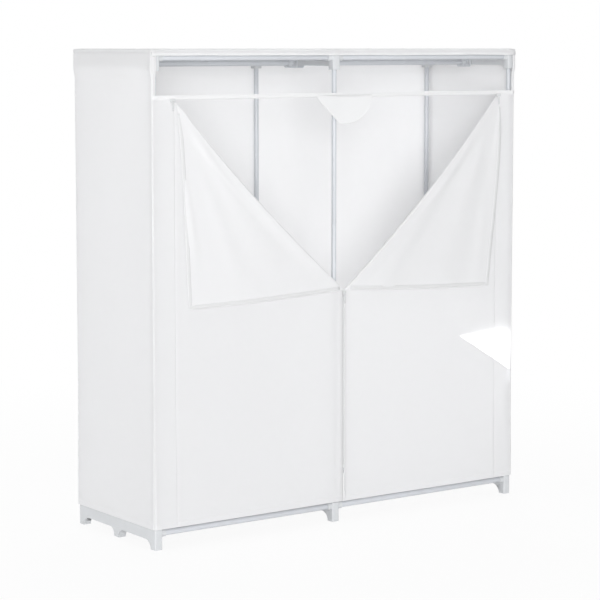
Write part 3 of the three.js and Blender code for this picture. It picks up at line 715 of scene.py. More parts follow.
class WARDROBE_OT_roof(bpy.types.Operator):
    """Lays the roof over the top frames, with its rounded skirt and the band across the front"""
    bl_idname = "wardrobe.roof"
    bl_label = "Roof"

    def execute(self, context):
        settings = cloth_settings()
        radius = ROOF_EDGE_RADIUS
        outer_x, outer_y = HALF_WIDTH - HALF_CLOTH, HALF_DEPTH - HALF_CLOTH
        flat_x, flat_y = outer_x - radius, outer_y - radius
        top = TOP - HALF_CLOTH
        arc = radius * math.pi / 2
        skirt = (top - radius) - ROOF_SKIRT_Z
        reach = arc + skirt

        def flat_places(length):
            far = length + reach
            return spaced(-far, far, settings.pitch, ROOF_EDGE_STEPS, ROOF_EDGE_STEPS[::-1])

        xs, ys = flat_places(flat_x), flat_places(flat_y)
        beams = [centre_of(f"top_cross_frame_{place}").x for place in PLACES]
        points, keep = {}, {}
        for j, q in enumerate(ys):
            for i, p in enumerate(xs):
                over_x, over_y = max(0.0, abs(p) - flat_x), max(0.0, abs(q) - flat_y)
                far = math.hypot(over_x, over_y)
                keep[i, j] = far < reach + 0.0001
                shown = min(far, reach)
                way_x = math.copysign(over_x / far, p) if far else 0.0
                way_y = math.copysign(over_y / far, q) if far else 0.0
                angle = min(shown / radius, math.pi / 2)
                side = radius * math.sin(angle)
                low = radius * (1 - math.cos(angle)) + max(0.0, shown - arc)
                x = min(max(p, -flat_x), flat_x) + way_x * side
                y = min(max(q, -flat_y), flat_y) + way_y * side
                from_beam = min(abs(x - beam) for beam in beams)
                from_edge = outer_y - abs(y)
                hang = ROOF_SAG * smooth_rise(from_beam, 0.01, 0.33) * smooth_rise(from_edge, 0, 0.2)
                loose = smooth_rise(min(from_beam, from_edge), 0, 0.06)
                hang += ROOF_WAVE * (1 + wave(x, y, 0.12, 0.09, 31.5)) * loose
                points[i, j] = (Vector((x, y, top - low - (hang if far == 0 else 0))), p, q)
        index = {key: n for n, key in enumerate(points)}
        faces = []
        for j in range(len(ys) - 1):
            for i in range(len(xs) - 1):
                corners = [(i, j), (i + 1, j), (i + 1, j + 1), (i, j + 1)]
                if sum(keep[c] for c in corners) > 1:
                    faces.append([index[c] for c in corners])

        def seam(x, y):
            return abs(max(abs(x) - flat_x, abs(y) - flat_y) - arc - 0.001)
        roof = cloth_mesh("roof_cloth", list(points.values()), faces, cover_cloth(), settings.thickness,
                          seam, merge=10 * MERGE_REACH)
        assign(roof, "wardrobe", "cover_roof")
        self.add_band()
        return {"FINISHED"}

    def add_band(self):
        settings = cloth_settings()
        low, high = BAND_LOW, BAND_HIGH
        top = ROOF_SKIRT_Z + BAND_TUCK
        sewn = low.z + BAND_SEAM
        zs = [low.z + step for step in BAND_STEPS]
        zs += [ROOF_SKIRT_Z - 0.0003, ROOF_SKIRT_Z + 0.001, top]

        def place(x, z):
            puff = bump(z, low.z + 0.003, 0.004) - bump(z, sewn, 0.001) + wave(x, z, 0.11, 0.2, 41.0)
            behind = BAND_BEHIND if z > ROOF_SKIRT_Z else 0
            down = BAND_DIP * (1 - smooth_rise(z, low.z, top)) * wave(x, 0, 0.16, 1, 43.0)
            return Vector((x, -HALF_DEPTH + HALF_CLOTH - BAND_PUFF * puff + behind, z - down))
        rows = grid_rows(spaced(low.x + BAND_INSET, high.x - BAND_INSET, settings.pitch), zs, place)
        band = sheet_mesh("front_band_cloth", rows, cover_cloth(), settings.thickness * 1.6,
                          edge_rows(("y", sewn)))
        assign(band, "wardrobe", "cover_front_band")


BORDER_TUCK = 0.002


class WARDROBE_OT_front_borders(bpy.types.Operator):
    """Adds the two narrow borders between the front corners and the door seams"""
    bl_idname = "wardrobe.front_borders"
    bl_label = "Front borders"

    def execute(self, context):
        # The corner hem goes on above the header strip, up to the front band
        rise = spaced(STRIP_BOTTOM + 0.008, BAND_LOW.z + 0.004, cloth_settings().pitch)
        shared = {"along": (1, 0, 0), "outward": (0, -1, 0), "length": WALL_X - SEAM_X,
                  "top": STRIP_BOTTOM + BORDER_TUCK, "rise": rise}
        add_wall("left_border_cloth", "cover_front_border_left", (-WALL_X, -WALL_Y, 0),
                 ends=(True, False), offset=5.3, **shared)
        add_wall("right_border_cloth", "cover_front_border_right", (SEAM_X, -WALL_Y, 0),
                 ends=(False, True), offset=8.2, **shared)
        return {"FINISHED"}


STRIP_THICKNESS = 0.0018
STRIP_SEAM = 0.0018
STRIP_PUFF = 0.0004
STRIP_WAVE = 0.0005
STRIP_DIP = 0.0016
PATCH_COLUMNS = 64
PATCH_ROWS = 14
PATCH_CURL = 0.0035
PATCH_RIM = 0.0006
PATCH_SLANT = 0.95
PATCH_SLANT_START = 0.004
PATCH_SLANT_LEAN = 0.69
PATCH_SEAM = 0.007


class WARDROBE_OT_header(bpy.types.Operator):
    """Adds the header strip across the front and the half-moon patch sewn to it"""
    bl_idname = "wardrobe.header"
    bl_label = "Header"

    def execute(self, context):
        settings = cloth_settings()
        middle_y = (STRIP_LOW.y + STRIP_HIGH.y) / 2
        low, high = STRIP_LOW.z, STRIP_HIGH.z

        def place(x, z):
            share = (z - low) / (high - low)
            puff = STRIP_PUFF * math.sin(math.pi * share) + STRIP_WAVE * wave(x, z, 0.13, 0.3, 53.0)
            dip = STRIP_DIP * wave(x, 0, 0.24, 1, 57.0) * smooth_rise(WALL_X - abs(x), 0, 0.1)
            return Vector((x, middle_y - puff, z + dip))
        rows = grid_rows(spaced(STRIP_LOW.x, STRIP_HIGH.x, settings.pitch * 0.8),
                         spaced(low, high, 0.0015, (0.0004, 0.0008), (0.0008, 0.0004)), place)
        strip = sheet_mesh("header_strip_cloth", rows, strip_cloth(), STRIP_THICKNESS,
                           edge_rows(("y", low + STRIP_SEAM), ("y", high - STRIP_SEAM)))
        assign(strip, "wardrobe", "header_strip")
        self.add_patch()
        return {"FINISHED"}

    def add_patch(self):
        settings = cloth_settings()
        half_width = (PATCH_HIGH.x - PATCH_LOW.x) / 2
        sewn_top = PATCH_HIGH.z
        drop = STRIP_BOTTOM - PATCH_LOW.z
        y = (PATCH_LOW.y + PATCH_HIGH.y) / 2

        def slant(x):
            """How far down the patch's straight left edge cuts it off."""
            return PATCH_SLANT * (x + half_width) + PATCH_SLANT_START

        rows = []
        for j in range(PATCH_ROWS + 1):
            share = 1 - (1 - j / PATCH_ROWS) ** 1.4
            row = []
            for i in range(PATCH_COLUMNS + 1):
                angle = math.pi * i / PATCH_COLUMNS
                x = -half_width * math.cos(angle)
                round_drop = drop * math.sin(angle)
                z = STRIP_BOTTOM - (min(round_drop, slant(x)) if x < 0 else round_drop) * share
                z += (sewn_top - STRIP_BOTTOM) * (1 - share)
                hang = (STRIP_BOTTOM - z) / drop
                curl = PATCH_CURL * smooth_rise(hang, 0.1, 1.0) * (1 + 0.8 * wave(x, z, 0.09, 0.08, 61.0))
                rim = PATCH_RIM * smooth_rise(share, 0.93, 0.95)
                row.append((Vector((x, y - curl - rim, z)), x, z))
            rows.append(row)

        def binding(x, z):
            across = math.hypot(x / half_width, min(0.0, z - STRIP_BOTTOM) / drop)
            from_slant = PATCH_SLANT_LEAN * (slant(x) - STRIP_BOTTOM + z)
            return abs(min((1 - across) * drop, from_slant) - PATCH_SEAM)
        patch = sheet_mesh("half_moon_patch", rows, strip_cloth(), settings.thickness * 1.4, binding)
        assign(patch, "wardrobe", "header_patch")


# Doors with their folded flaps

FOLD_LOW_Z = 0.795
TIGHT_ROLL = 0.0019
FLAT_GAP = 0.0036
LEAST_GAP = 0.0034
LOW_EDGE_LIFT = 0.0022
LOW_EDGE_SAG = 0.004
ROLL_STEPS = 10
DOOR_SEAM_STEPS = (0.0008, 0.0012, 0.002)
DOOR_EDGE_STEPS = (0.003, 0.002, 0.0015, 0.001)
CORNER_DEPTH_SHARE = 0.2
SEAM_TURN = 0.0009
ZIP_Z = STRIP_BOTTOM - 0.004
FOLD_X = SEAM_X - 0.003
CLOSED_TOP_Z = ZIP_Z - 0.004


class DoorShape:
    """One door's cloth: an upright panel up to the fold, a soft roll, and the flap hanging outwards.

    All places are worked out for the left door, and turned() puts them on their own side. x goes across
    the door, and w across the flap, from 0 at the fold to 1 at the free edge.
    """

    def __init__(self, side, edge_bulge, edge_rise, corner_x, corner_z, ridges, offset):
        flap = bpy.context.scene.wardrobe_flap
        self.side = side
        self.sag = flap.sag
        self.roll_radius = flap.roll_radius
        self.ridges = ridges
        self.edge_bulge = edge_bulge
        self.edge_rise = edge_rise
        self.corner = Vector((corner_x, corner_z))
        self.start = Vector((-FOLD_X, CLOSED_TOP_Z + 0.001))
        self.offset = offset

    def fold(self, x):
        """Height of the fold above a place across the door."""
        share = min(1.0, max(0.0, (x + FOLD_X) / FOLD_X))
        straight = ZIP_Z + (FOLD_LOW_Z - ZIP_Z) * share
        if not 0 < share < 1:
            return straight
        return straight - self.sag * (math.sin(math.pi * share ** 0.85) ** 0.8)

    def fold_normal(self, x):
        step = 0.004
        slope = (self.fold(x + step) - self.fold(x - step)) / (2 * step)
        return Vector((-slope, 1.0)).normalized()

    def roll(self, x):
        """Radius of the roll, which is tight at the fold's ends."""
        share = min(1.0, max(0.0, (x + FOLD_X) / FOLD_X))
        return TIGHT_ROLL + (self.roll_radius - TIGHT_ROLL) * math.sin(math.pi * share) ** 0.7

    def edge_share(self, x):
        """Share of the way down the free upright edge that belongs to a place across the door."""
        return (x + FOLD_X) / (FOLD_X - DOOR_EDGE_X)

    def outer_edge(self, share):
        """The flap's free upright edge, from the top slider down to the free corner."""
        place = self.start.lerp(self.corner, share)
        bow = math.sin(math.pi * share ** 0.55)
        return place + Vector((-self.edge_bulge * bow, 0))

    def bottom_edge(self, share, fold_end):
        """The flap's lower edge, from the fold's low end out to the free corner."""
        place = fold_end.lerp(self.corner, share)
        return place + Vector((0, -LOW_EDGE_SAG * math.sin(math.pi * share)))

    def flap_place(self, x, w):
        """Place of a point of the folded flap, seen from the front."""
        share = self.edge_share(x)
        near = Vector((x, self.fold(x)))
        fold_end = Vector((-DOOR_EDGE_X, self.fold(-DOOR_EDGE_X)))
        place = near.lerp(self.outer_edge(share), w)
        straight = fold_end.lerp(self.corner, w)
        place += (self.bottom_edge(w, fold_end) - straight) * share ** 4
        return place

    def lift(self, place, x, w):
        """How far the flap stands in front of the door."""
        from_top = place - self.start
        reach = from_top.length
        fold_way = Vector((-DOOR_EDGE_X, FOLD_LOW_Z)) - self.start
        edge_way = self.corner - self.start
        full = fold_way.angle(edge_way)
        fan = fold_way.angle(from_top) / full if reach > 0.001 else 0.5
        height = 0.0
        for middle, half, tall, low, high in self.ridges:
            along = smooth_rise(reach, low, low + 0.18) * (1 - smooth_rise(reach, high, high + 0.15))
            height += tall * bump(fan, middle, half) * along
        width = (self.outer_edge(self.edge_share(x)) - Vector((x, self.fold(x)))).length
        far = w * max(0.001, width)
        flat = smooth_rise(far, 0.0, 0.07)
        gap = 2 * self.roll(x) * (1 - flat) + FLAT_GAP * flat
        gap += 0.0005 * wave(place.x, place.y, 0.05, 0.07, self.offset + 3)
        low_edge = LOW_EDGE_LIFT * smooth_rise(x + FOLD_X, FOLD_X - 0.12, FOLD_X)
        stand_off = self.edge_rise * smooth_rise(w, 0.78, 0.93) * smooth_rise(reach, 0.03, 0.12)
        return max(LEAST_GAP, gap + height * smooth_rise(far, 0.0, 0.05) + low_edge + stand_off)

    def rows(self, pitch):
        """Rows of the whole cloth, from the hem up to the fold and over it to the flap's free edge."""
        columns = spaced(-SEAM_X, -DOOR_EDGE_X, pitch, DOOR_SEAM_STEPS, DOOR_EDGE_STEPS)
        rows = []
        base = HEM_Z
        for step in HEM_STEPS:
            rows.append([self.panel_point(x, base) for x in columns])
            base += step
        for share in spaced(0.0, 1.0, pitch / 1.2):
            rows.append([self.panel_point(x, base + (self.fold(x) - base) * share) for x in columns])
        for k in range(1, ROLL_STEPS + 1):
            rows.append([self.roll_point(x, math.pi * k / ROLL_STEPS) for x in columns])
        for w in spaced(0.0, 1.0, pitch / 0.62)[1:]:
            rows.append([self.flap_point(x, w) for x in columns])
        return rows

    def turned(self, x, y, z):
        return Vector((x if self.side == "left" else -x, y, z))

    def panel_point(self, x, z):
        settings = cloth_settings()
        free = self.fold(x) - z
        edge = min(x + SEAM_X, -DOOR_EDGE_X - x)
        held = smooth_rise(edge, 0, 0.06) * smooth_rise(z - HEM_Z, -0.05, 0.1) * smooth_rise(free, 0, 0.05)
        ripple = min(0.0011, hanging_ripple(x, z, self.offset, settings.ripple * 1.1)) * held
        seam = SEAM_TURN * bump(x + SEAM_X, 0, 0.0014) - 0.0003 * bump(x + SEAM_X, 0.004, 0.002)
        fold_in = 0.0002 * bump(x + DOOR_EDGE_X, 0, 0.002)
        y = CLOTH_Y - ripple + seam + fold_in - hem_shape(z, abs(x))
        return self.turned(x, y, z), x, z

    def roll_point(self, x, angle):
        radius = self.roll(x)
        on_fold = Vector((x, self.fold(x)))
        place, depth = on_fold, 0.0
        if x >= -FOLD_X:
            fade = smooth_rise(x + FOLD_X, 0.0, 0.03)
            place = on_fold + self.fold_normal(x) * radius * math.sin(angle) * fade
            depth = radius * (1 - math.cos(angle)) * max(fade, CORNER_DEPTH_SHARE)
        return self.turned(place.x, CLOTH_Y - depth, place.y), x, self.fold(x) + radius * angle

    def flap_point(self, x, w):
        if x < -FOLD_X:
            return self.turned(x, CLOTH_Y, self.fold(x)), x, self.fold(x)
        place = self.flap_place(x, w)
        fade = max(CORNER_DEPTH_SHARE, smooth_rise(x + FOLD_X, 0.0, 0.026))
        y = CLOTH_Y - self.lift(place, x, w) * fade
        return self.turned(place.x, y, place.y), x, self.fold(x) + w * (CLOSED_TOP_Z - self.fold(x))


# Each ridge of a flap: its middle and half width as shares of the flap's fan, its height, and the
# distances from the top corner between which it stands
LEFT_RIDGES = (
    (0.26, 0.13, 0.0045, 0.05, 0.6), (0.55, 0.1, 0.0025, 0.2, 0.8), (0.9, 0.05, 0.0042, 0.2, 0.45))
RIGHT_RIDGES = (
    (0.15, 0.08, 0.0058, 0.08, 0.9), (0.56, 0.15, 0.005, 0.1, 0.75), (0.88, 0.06, 0.002, 0.3, 0.9))


def door_shape(side):
    flap = bpy.context.scene.wardrobe_flap
    if side == "left":
        return DoorShape("left", edge_bulge=-0.008, edge_rise=0.0, corner_x=-flap.corner_x + 0.006,
                         corner_z=flap.corner_height, ridges=LEFT_RIDGES, offset=15.0)
    return DoorShape("right", edge_bulge=0.028, edge_rise=0.0024, corner_x=-flap.corner_x - 0.003,
                     corner_z=flap.corner_height - 0.004, ridges=RIGHT_RIDGES, offset=19.0)


EDGE_SEAM = 0.003
DOUBLE_GAP = 0.0026
FLAP_LOW_Z = FOLD_LOW_Z - 0.05


class WARDROBE_OT_doors(bpy.types.Operator):
    """Makes each door's cloth with its upper half folded outwards over the diagonal"""
    bl_idname = "wardrobe.doors"
    bl_label = "Doors"

    def execute(self, context):
        settings = cloth_settings()
        for side in ("left", "right"):
            rows = door_shape(side).rows(settings.pitch)
            if side == "right":
                rows = turned_over(rows)
            seams = edge_rows(("y", HEM_Z + settings.hem - 0.001), ("y", CLOSED_TOP_Z - EDGE_SEAM),
                              ("x", -SEAM_X + SEWN_ROWS[0]), ("x", -DOOR_EDGE_X - EDGE_SEAM))
            cloth = sheet_mesh(f"{side}_door_cloth", rows, cover_cloth(), settings.thickness, seams)
            cloth.data.materials.append(folded_cloth())
            for face in cloth.data.polygons:
                if face.center.y < CLOTH_Y - DOUBLE_GAP and face.center.z > FLAP_LOW_Z:
                    face.material_index = 1
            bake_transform(cloth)
            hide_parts(f"door_panel_{side}", f"door_flap_{side}")
        return {"FINISHED"}


# Rigid pieces: primitives, booleans and bevels

ROUND_SIDES = 48


def applied(piece, name=None):
    """Writes a piece's place, turn and scale into its mesh."""
    make_active(piece)
    bpy.ops.object.transform_apply(location=True, rotation=True, scale=True)
    if name:
        piece.name = name
    return piece


def add_block(name, low, high):
    clear_selection()
    low, high = Vector(low), Vector(high)
    bpy.ops.mesh.primitive_cube_add(size=1, location=(low + high) / 2, scale=high - low)
    return applied(bpy.context.object, name)


def add_round(name, start, end, radius, sides):
    """A round bar between two points."""
    clear_selection()
    start, end = Vector(start), Vector(end)
    way = end - start
    turn = way.to_track_quat("Z", "Y").to_euler()
    bpy.ops.mesh.primitive_cylinder_add(
        vertices=sides, radius=radius, depth=way.length, location=(start + end) / 2, rotation=turn)
    return applied(bpy.context.object, name)


def add_oval(name, y, half_width, reach_y, reach_z):
    """A bar along X with an oval section that is centred on the floor."""
    clear_selection()
    bpy.ops.mesh.primitive_cylinder_add(
        vertices=ROUND_SIDES, radius=1, depth=2 * half_width, location=(0, y, 0),
        rotation=(0, math.pi / 2, 0), scale=(reach_z, reach_y, 1))
    return applied(bpy.context.object, name)


def add_ring(major, minor, sides, place, turn=(0, 0, 0), stretch=1.0):
    """A ring about the upright, which is stretched along its own axis and then turned."""
    clear_selection()
    bpy.ops.mesh.primitive_torus_add(
        major_radius=major, minor_radius=minor, major_segments=sides, minor_segments=12,
        location=place, rotation=turn)
    bpy.context.object.scale.z = stretch
    return applied(bpy.context.object)


def drop(piece):
    bpy.data.objects.remove(piece, do_unlink=True)


def combined(base, operation, other):
    """Joins another piece to a base or cuts it out of it, and drops the other."""
    modifier = base.modifiers.new("combined", "BOOLEAN")
    modifier.operation = operation
    modifier.solver = "EXACT"
    modifier.object = other
    make_active(base)
    bpy.ops.object.modifier_apply(modifier=modifier.name)
    drop(other)


def softened(piece, width, segments=2, angle=35):
    """Rounds the sharp edges and shades the piece smooth between them."""
    modifier = piece.modifiers.new("edges", "BEVEL")
    modifier.width = width
    modifier.segments = segments
    modifier.limit_method = "ANGLE"
    modifier.angle_limit = math.radians(angle)
    make_active(piece)
    bpy.ops.object.modifier_apply(modifier=modifier.name)
    bpy.ops.object.shade_smooth_by_angle(angle=math.radians(angle))
    return piece


def round_corners(piece, axis, radius, segments=5):
    """Rounds the edges of a block that run along one axis (0, 1 or 2)."""
    make_active(piece)
    bpy.ops.object.mode_set(mode="EDIT")
    bpy.ops.mesh.select_mode(type="EDGE")
    bpy.ops.mesh.select_all(action="DESELECT")
    edit = bmesh.from_edit_mesh(piece.data)
    for edge in edit.edges:
        way = (edge.verts[1].co - edge.verts[0].co).normalized()
        edge.select_set(abs(way[axis]) > 0.98)
    bmesh.update_edit_mesh(piece.data)
    bpy.ops.mesh.bevel(offset=radius, segments=segments)
    bpy.ops.object.mode_set(mode="OBJECT")
    return piece


def placed_copy(source, name, offset=(0, 0, 0), turn=(0, 0, 0)):
    copy = linked(name, source.data.copy())
    copy.location = offset
    copy.rotation_euler = turn
    return applied(copy)


def hand_over(piece, material, body, node):
    """Gives a finished rigid piece its material, its body and the node that it stands for."""
    piece.data.materials.clear()
    piece.data.materials.append(material)
    assign(piece, body, node)


BAY_SIDES = {"left": (1,), "middle": (-1, 1), "right": (-1,)}
BASE_LOW, BASE_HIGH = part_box("base_cross_frame_middle")
TOP_LOW, TOP_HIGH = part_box("top_cross_frame_middle")
POST_LOW, POST_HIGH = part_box("post_front_middle")
RAIL_LOW, RAIL_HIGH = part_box("base_rail_front_left")
POST_Y = -(POST_LOW.y + POST_HIGH.y) / 2
POST_RADIUS = (POST_HIGH.x - POST_LOW.x) / 2
RAIL_RADIUS = (RAIL_HIGH.z - RAIL_LOW.z) / 2
SLEEVE_RADIUS = RAIL_RADIUS + 0.0025
SLEEVE_LENGTH = 0.016
BLOCK_HALF = (BASE_HIGH.x - BASE_LOW.x) / 2 - SLEEVE_LENGTH
FIT = 0.0003
WALL = 0.003
FOOT_DEPTH = 0.028
ARCH_HEIGHT = 0.029
ARCH_RUN = 0.034
MIDDLE_FOOT = 0.029
MIDDLE_RUN = 0.024
BLOCK_CORNER = 0.004
BEAM_INSET = 0.002
BEAM_BOTTOM_GAP = 0.012
BEAM_TOP_GAP = 0.008
BEAM_RIB = 0.04
SLEEVE_STOP = 0.0017
POST_RING_Z = 1.02
POST_RING_OUT = 0.0002
POST_RING_RADIUS = 0.0006
POST_EDGE = 0.0004
RAIL_EDGE = 0.0005
HOLDER_CORNER = 0.009
HOLDER_EDGE = 0.0006
HOLE_Y = 0.027
HOLE_RADIUS = 0.006
SOCKET_SIDES = 32


def add_sleeves(frame_piece, sides, height, sleeve_sides):
    """Adds the sleeves that hold the rails' ends, on the sides that face a bay."""
    for side in sides:
        for y in (-POST_Y, POST_Y):
            inner, stop, outer, past = (
                (side * (BLOCK_HALF + reach), y, height)
                for reach in (-WALL, SLEEVE_STOP, SLEEVE_LENGTH, 2 * SLEEVE_LENGTH))
            sleeve = add_round("sleeve", inner, outer, SLEEVE_RADIUS, sleeve_sides)
            combined(frame_piece, "UNION", sleeve)
            bore = add_round("bore", stop, past, RAIL_RADIUS + FIT, sleeve_sides)
            combined(frame_piece, "DIFFERENCE", bore)


def cut_socket(beam, side, bottom, top):
    """Cuts the socket for the post's end at one end of a beam."""
    socket = add_round("socket", (0, side * POST_Y, bottom), (0, side * POST_Y, top), POST_RADIUS + FIT,
                       SOCKET_SIDES)
    combined(beam, "DIFFERENCE", socket)


def cut_hollows(beam, side, half, near, far, bottom, top):
    """Cuts the two hollows of one half of a beam's underside, with a rib between them."""
    middle = (near + far) / 2
    for first, last in ((near, middle - WALL), (middle + WALL, far)):
        low_y, high_y = sorted((side * first, side * last))
        hollow = add_block("hollow", (-half + WALL, low_y, bottom), (half - WALL, high_y, top))
        combined(beam, "DIFFERENCE", hollow)


def add_cross_frames(beam, level, rail):
    """Adds a cross frame of a level at each pair of posts, with the sleeves that its place needs."""
    settings = bpy.context.scene.wardrobe_frame
    for place in PLACES:
        piece = placed_copy(beam, f"{level}_frame_{place}")
        add_sleeves(piece, BAY_SIDES[place], centre_of(rail).z, settings.tube_sides)
        softened(piece, settings.bevel)
        piece.location.x = centre_of(f"post_front_{place}").x
        applied(piece)
        hand_over(piece, frame_plastic(), "wardrobe", f"{level}_cross_frame_{place}")
    drop(beam)


class WARDROBE_OT_base_frames(bpy.types.Operator):
    """Models the three base cross frames with their arches, hollow undersides and rail sleeves"""
    bl_idname = "wardrobe.base_frames"
    bl_label = "Base cross frames"

    def execute(self, context):
        add_cross_frames(self.model_beam(), "base", "base_rail_front_left")
        return {"FINISHED"}

    def model_beam(self):
        half, depth, top = BLOCK_HALF, BASE_HIGH.y, BASE_HIGH.z
        foot, middle = depth - FOOT_DEPTH, MIDDLE_FOOT / 2
        over = half + WALL
        beam = add_block("beam", (-half, -depth, 0), (half, depth, top))
        round_corners(beam, 2, BLOCK_CORNER)
        for side in (-1, 1):
            outer, inner = side * (foot - ARCH_RUN), side * (middle + MIDDLE_RUN)
            low_y, high_y = sorted((outer, inner))
            arch = add_block("arch", (-over, low_y, -WALL), (over, high_y, ARCH_HEIGHT))
            combined(beam, "DIFFERENCE", arch)
            combined(beam, "DIFFERENCE", add_oval("arch_end", outer, over, ARCH_RUN, ARCH_HEIGHT))
            combined(beam, "DIFFERENCE", add_oval("arch_end", inner, over, MIDDLE_RUN, ARCH_HEIGHT))
            cut_hollows(beam, side, half, middle + WALL, foot - WALL, -WALL, top - WALL)
            cut_socket(beam, side, POST_LOW.z - FIT, top + WALL)
        return beam


class WARDROBE_OT_top_frames(bpy.types.Operator):
    """Models the three top cross frames with their corner sockets and rail sleeves"""
    bl_idname = "wardrobe.top_frames"
    bl_label = "Top cross frames"

    def execute(self, context):
        add_cross_frames(self.model_beam(), "top", "top_rail_front_left")
        return {"FINISHED"}

    def model_beam(self):
        half = BLOCK_HALF - BEAM_INSET
        bottom, top = TOP_LOW.z + BEAM_BOTTOM_GAP, TOP - BEAM_TOP_GAP
        depth = TOP_HIGH.y
        inner = 2 * POST_Y - depth
        beam = add_block("beam", (-half, -POST_Y, bottom), (half, POST_Y, top))
        for side in (-1, 1):
            low_y, high_y = sorted((side * inner, side * depth))
            block = add_block("block", (-BLOCK_HALF, low_y, TOP_LOW.z), (BLOCK_HALF, high_y, TOP_HIGH.z))
            round_corners(block, 2, BLOCK_CORNER)
            combined(beam, "UNION", block)
            cut_hollows(beam, side, half, BEAM_RIB, inner - WALL, bottom - WALL, top - WALL)
            cut_socket(beam, side, TOP_LOW.z - WALL, POST_HIGH.z + FIT)
        return beam


class WARDROBE_OT_tubes(bpy.types.Operator):
    """Models the six posts, the eight rails and the two hanging rods"""
    bl_idname = "wardrobe.tubes"
    bl_label = "Posts, rails and rods"

    def execute(self, context):
        sides = context.scene.wardrobe_frame.tube_sides
        post = add_round("post", (0, 0, POST_LOW.z), (0, 0, POST_HIGH.z), POST_RADIUS, sides)
        ring = add_ring(POST_RADIUS + POST_RING_OUT, POST_RING_RADIUS, sides, (0, 0, POST_RING_Z))
        combined(post, "DIFFERENCE", ring)
        softened(post, POST_EDGE)
        for place in PLACES:
            for end in ("front", "back"):
                centre = centre_of(f"post_{end}_{place}")
                piece = placed_copy(post, f"{end}_{place}_post", (centre.x, centre.y, 0))
                hand_over(piece, tube_paint(), "wardrobe", f"post_{end}_{place}")
        drop(post)
        rails = [f"{level}_rail_{end}_{bay}" for level in ("base", "top") for end in ("front", "back")
                 for bay in ("left", "right")]
        for node in rails + ["hanging_rod_left", "hanging_rod_right"]:
            low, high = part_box(node)
            y, z = centre_of(node).yz
            tube = add_round(node + "_tube", (low.x, y, z), (high.x, y, z), (high.z - low.z) / 2, sides)
            softened(tube, RAIL_EDGE)
            hand_over(tube, tube_paint(), "wardrobe", node)
        return {"FINISHED"}


class WARDROBE_OT_rod_holders(bpy.types.Operator):
    """Models the four rod holders on the sides of the top beams"""
    bl_idname = "wardrobe.rod_holders"
    bl_label = "Rod holders"

    def execute(self, context):
        low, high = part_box("rod_holder_left_outer")
        reach, rod_z = high.x - low.x, (low.z + high.z) / 2
        holder = add_block("holder", (0, low.y, low.z), (WALL, high.y, high.z))
        round_corners(holder, 0, HOLDER_CORNER)
        bore_radius = RAIL_RADIUS + FIT
        cup = add_round("cup", (WALL / 2, 0, rod_z), (reach, 0, rod_z), bore_radius + WALL, ROUND_SIDES)
        combined(holder, "UNION", cup)
        bore = add_round("bore", (WALL, 0, rod_z), (reach + WALL, 0, rod_z), bore_radius, ROUND_SIDES)
        combined(holder, "DIFFERENCE", bore)
        for y in (-HOLE_Y, HOLE_Y):
            hole = add_round("hole", (-WALL, y, rod_z), (2 * WALL, y, rod_z), HOLE_RADIUS, SOCKET_SIDES)
            combined(holder, "DIFFERENCE", hole)
        softened(holder, HOLDER_EDGE)
        for bay in ("left", "right"):
            for end in ("outer", "inner"):
                node = f"rod_holder_{bay}_{end}"
                low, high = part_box(node)
                turned = (bay == "left") == (end == "inner")
                place, turn = (high.x, math.pi) if turned else (low.x, 0)
                piece = placed_copy(holder, f"{bay}_{end}_holder", (place, 0, 0), (0, 0, turn))
                hand_over(piece, holder_plastic(), "wardrobe", node)
        drop(holder)
        return {"FINISHED"}


# Zips

TOOTH_SIZE = (0.00062, 0.00092, 0.0021)
TOOTH_LEAN = 0.12
TAPE_THICKNESS = 0.0005
TAPE_STEP = 0.02
TAPE_ACROSS = 0.003
TAPE_START = 0.0012
TAPE_CLEARANCE = 0.00035
HEADER_TEETH_Z = 0.002
HEADER_TAPE_LOW = 0.0015
HEADER_TAPE_BACK = 0.0003
DOOR_TAPE_START = 0.0022
DOOR_TAPE_BACK = 0.0009
DOOR_TEETH_X = 0.0018
FLAP_TOP_SKIP = 0.056
FLAP_LOW_SKIP = 0.03


def model_tooth():
    """One turn of the coil, as a flattened bead along X."""
    clear_selection()
    bpy.ops.mesh.primitive_uv_sphere_add(
        segments=8, ring_count=6, radius=1, location=(0, 0, 0), rotation=(0, math.pi / 2, 0),
        scale=TOOTH_SIZE)
    tooth = applied(bpy.context.object)
    bpy.ops.object.shade_smooth()
    return tooth


def teeth_mesh(name, tooth, places):
    """Copies of the tooth at (point, outward way) places, as one piece."""
    mesh = bpy.data.meshes.new(name)
    shape = [v.co.copy() for v in tooth.data.vertices]
    sides = [tuple(p.vertices) for p in tooth.data.polygons]
    points, faces = [], []
    for point, way in places:
        base = len(points)
        front = Vector((0, -1, 0))
        along = way.cross(front).normalized()
        face = along.cross(way).normalized()
        for co in shape:
            points.append(point + way * co.x - face * co.y + along * (co.z + TOOTH_LEAN * co.x))
        faces += [tuple(base + i for i in side) for side in sides]
    mesh.from_pydata(points, [], faces)
    piece = linked(name, mesh)
    make_active(piece)
    bpy.ops.object.mode_set(mode="EDIT")
    bpy.ops.mesh.select_all(action="SELECT")
    bpy.ops.mesh.normals_make_consistent(inside=False)
    bpy.ops.object.mode_set(mode="OBJECT")
    bpy.ops.object.shade_smooth()
    return piece


def even_values(near, far, count):
    return [near + (far - near) * k / (count - 1) for k in range(count)]


def even_points(line, pitch):
    """Points at an even pitch along a line of points."""
    points, left = [], pitch / 2
    for a, b in zip(line, line[1:]):
        way = b - a
        length = way.length
        while left < length:
            points.append(a + way * (left / length))
            left += pitch
        left -= length
    return points


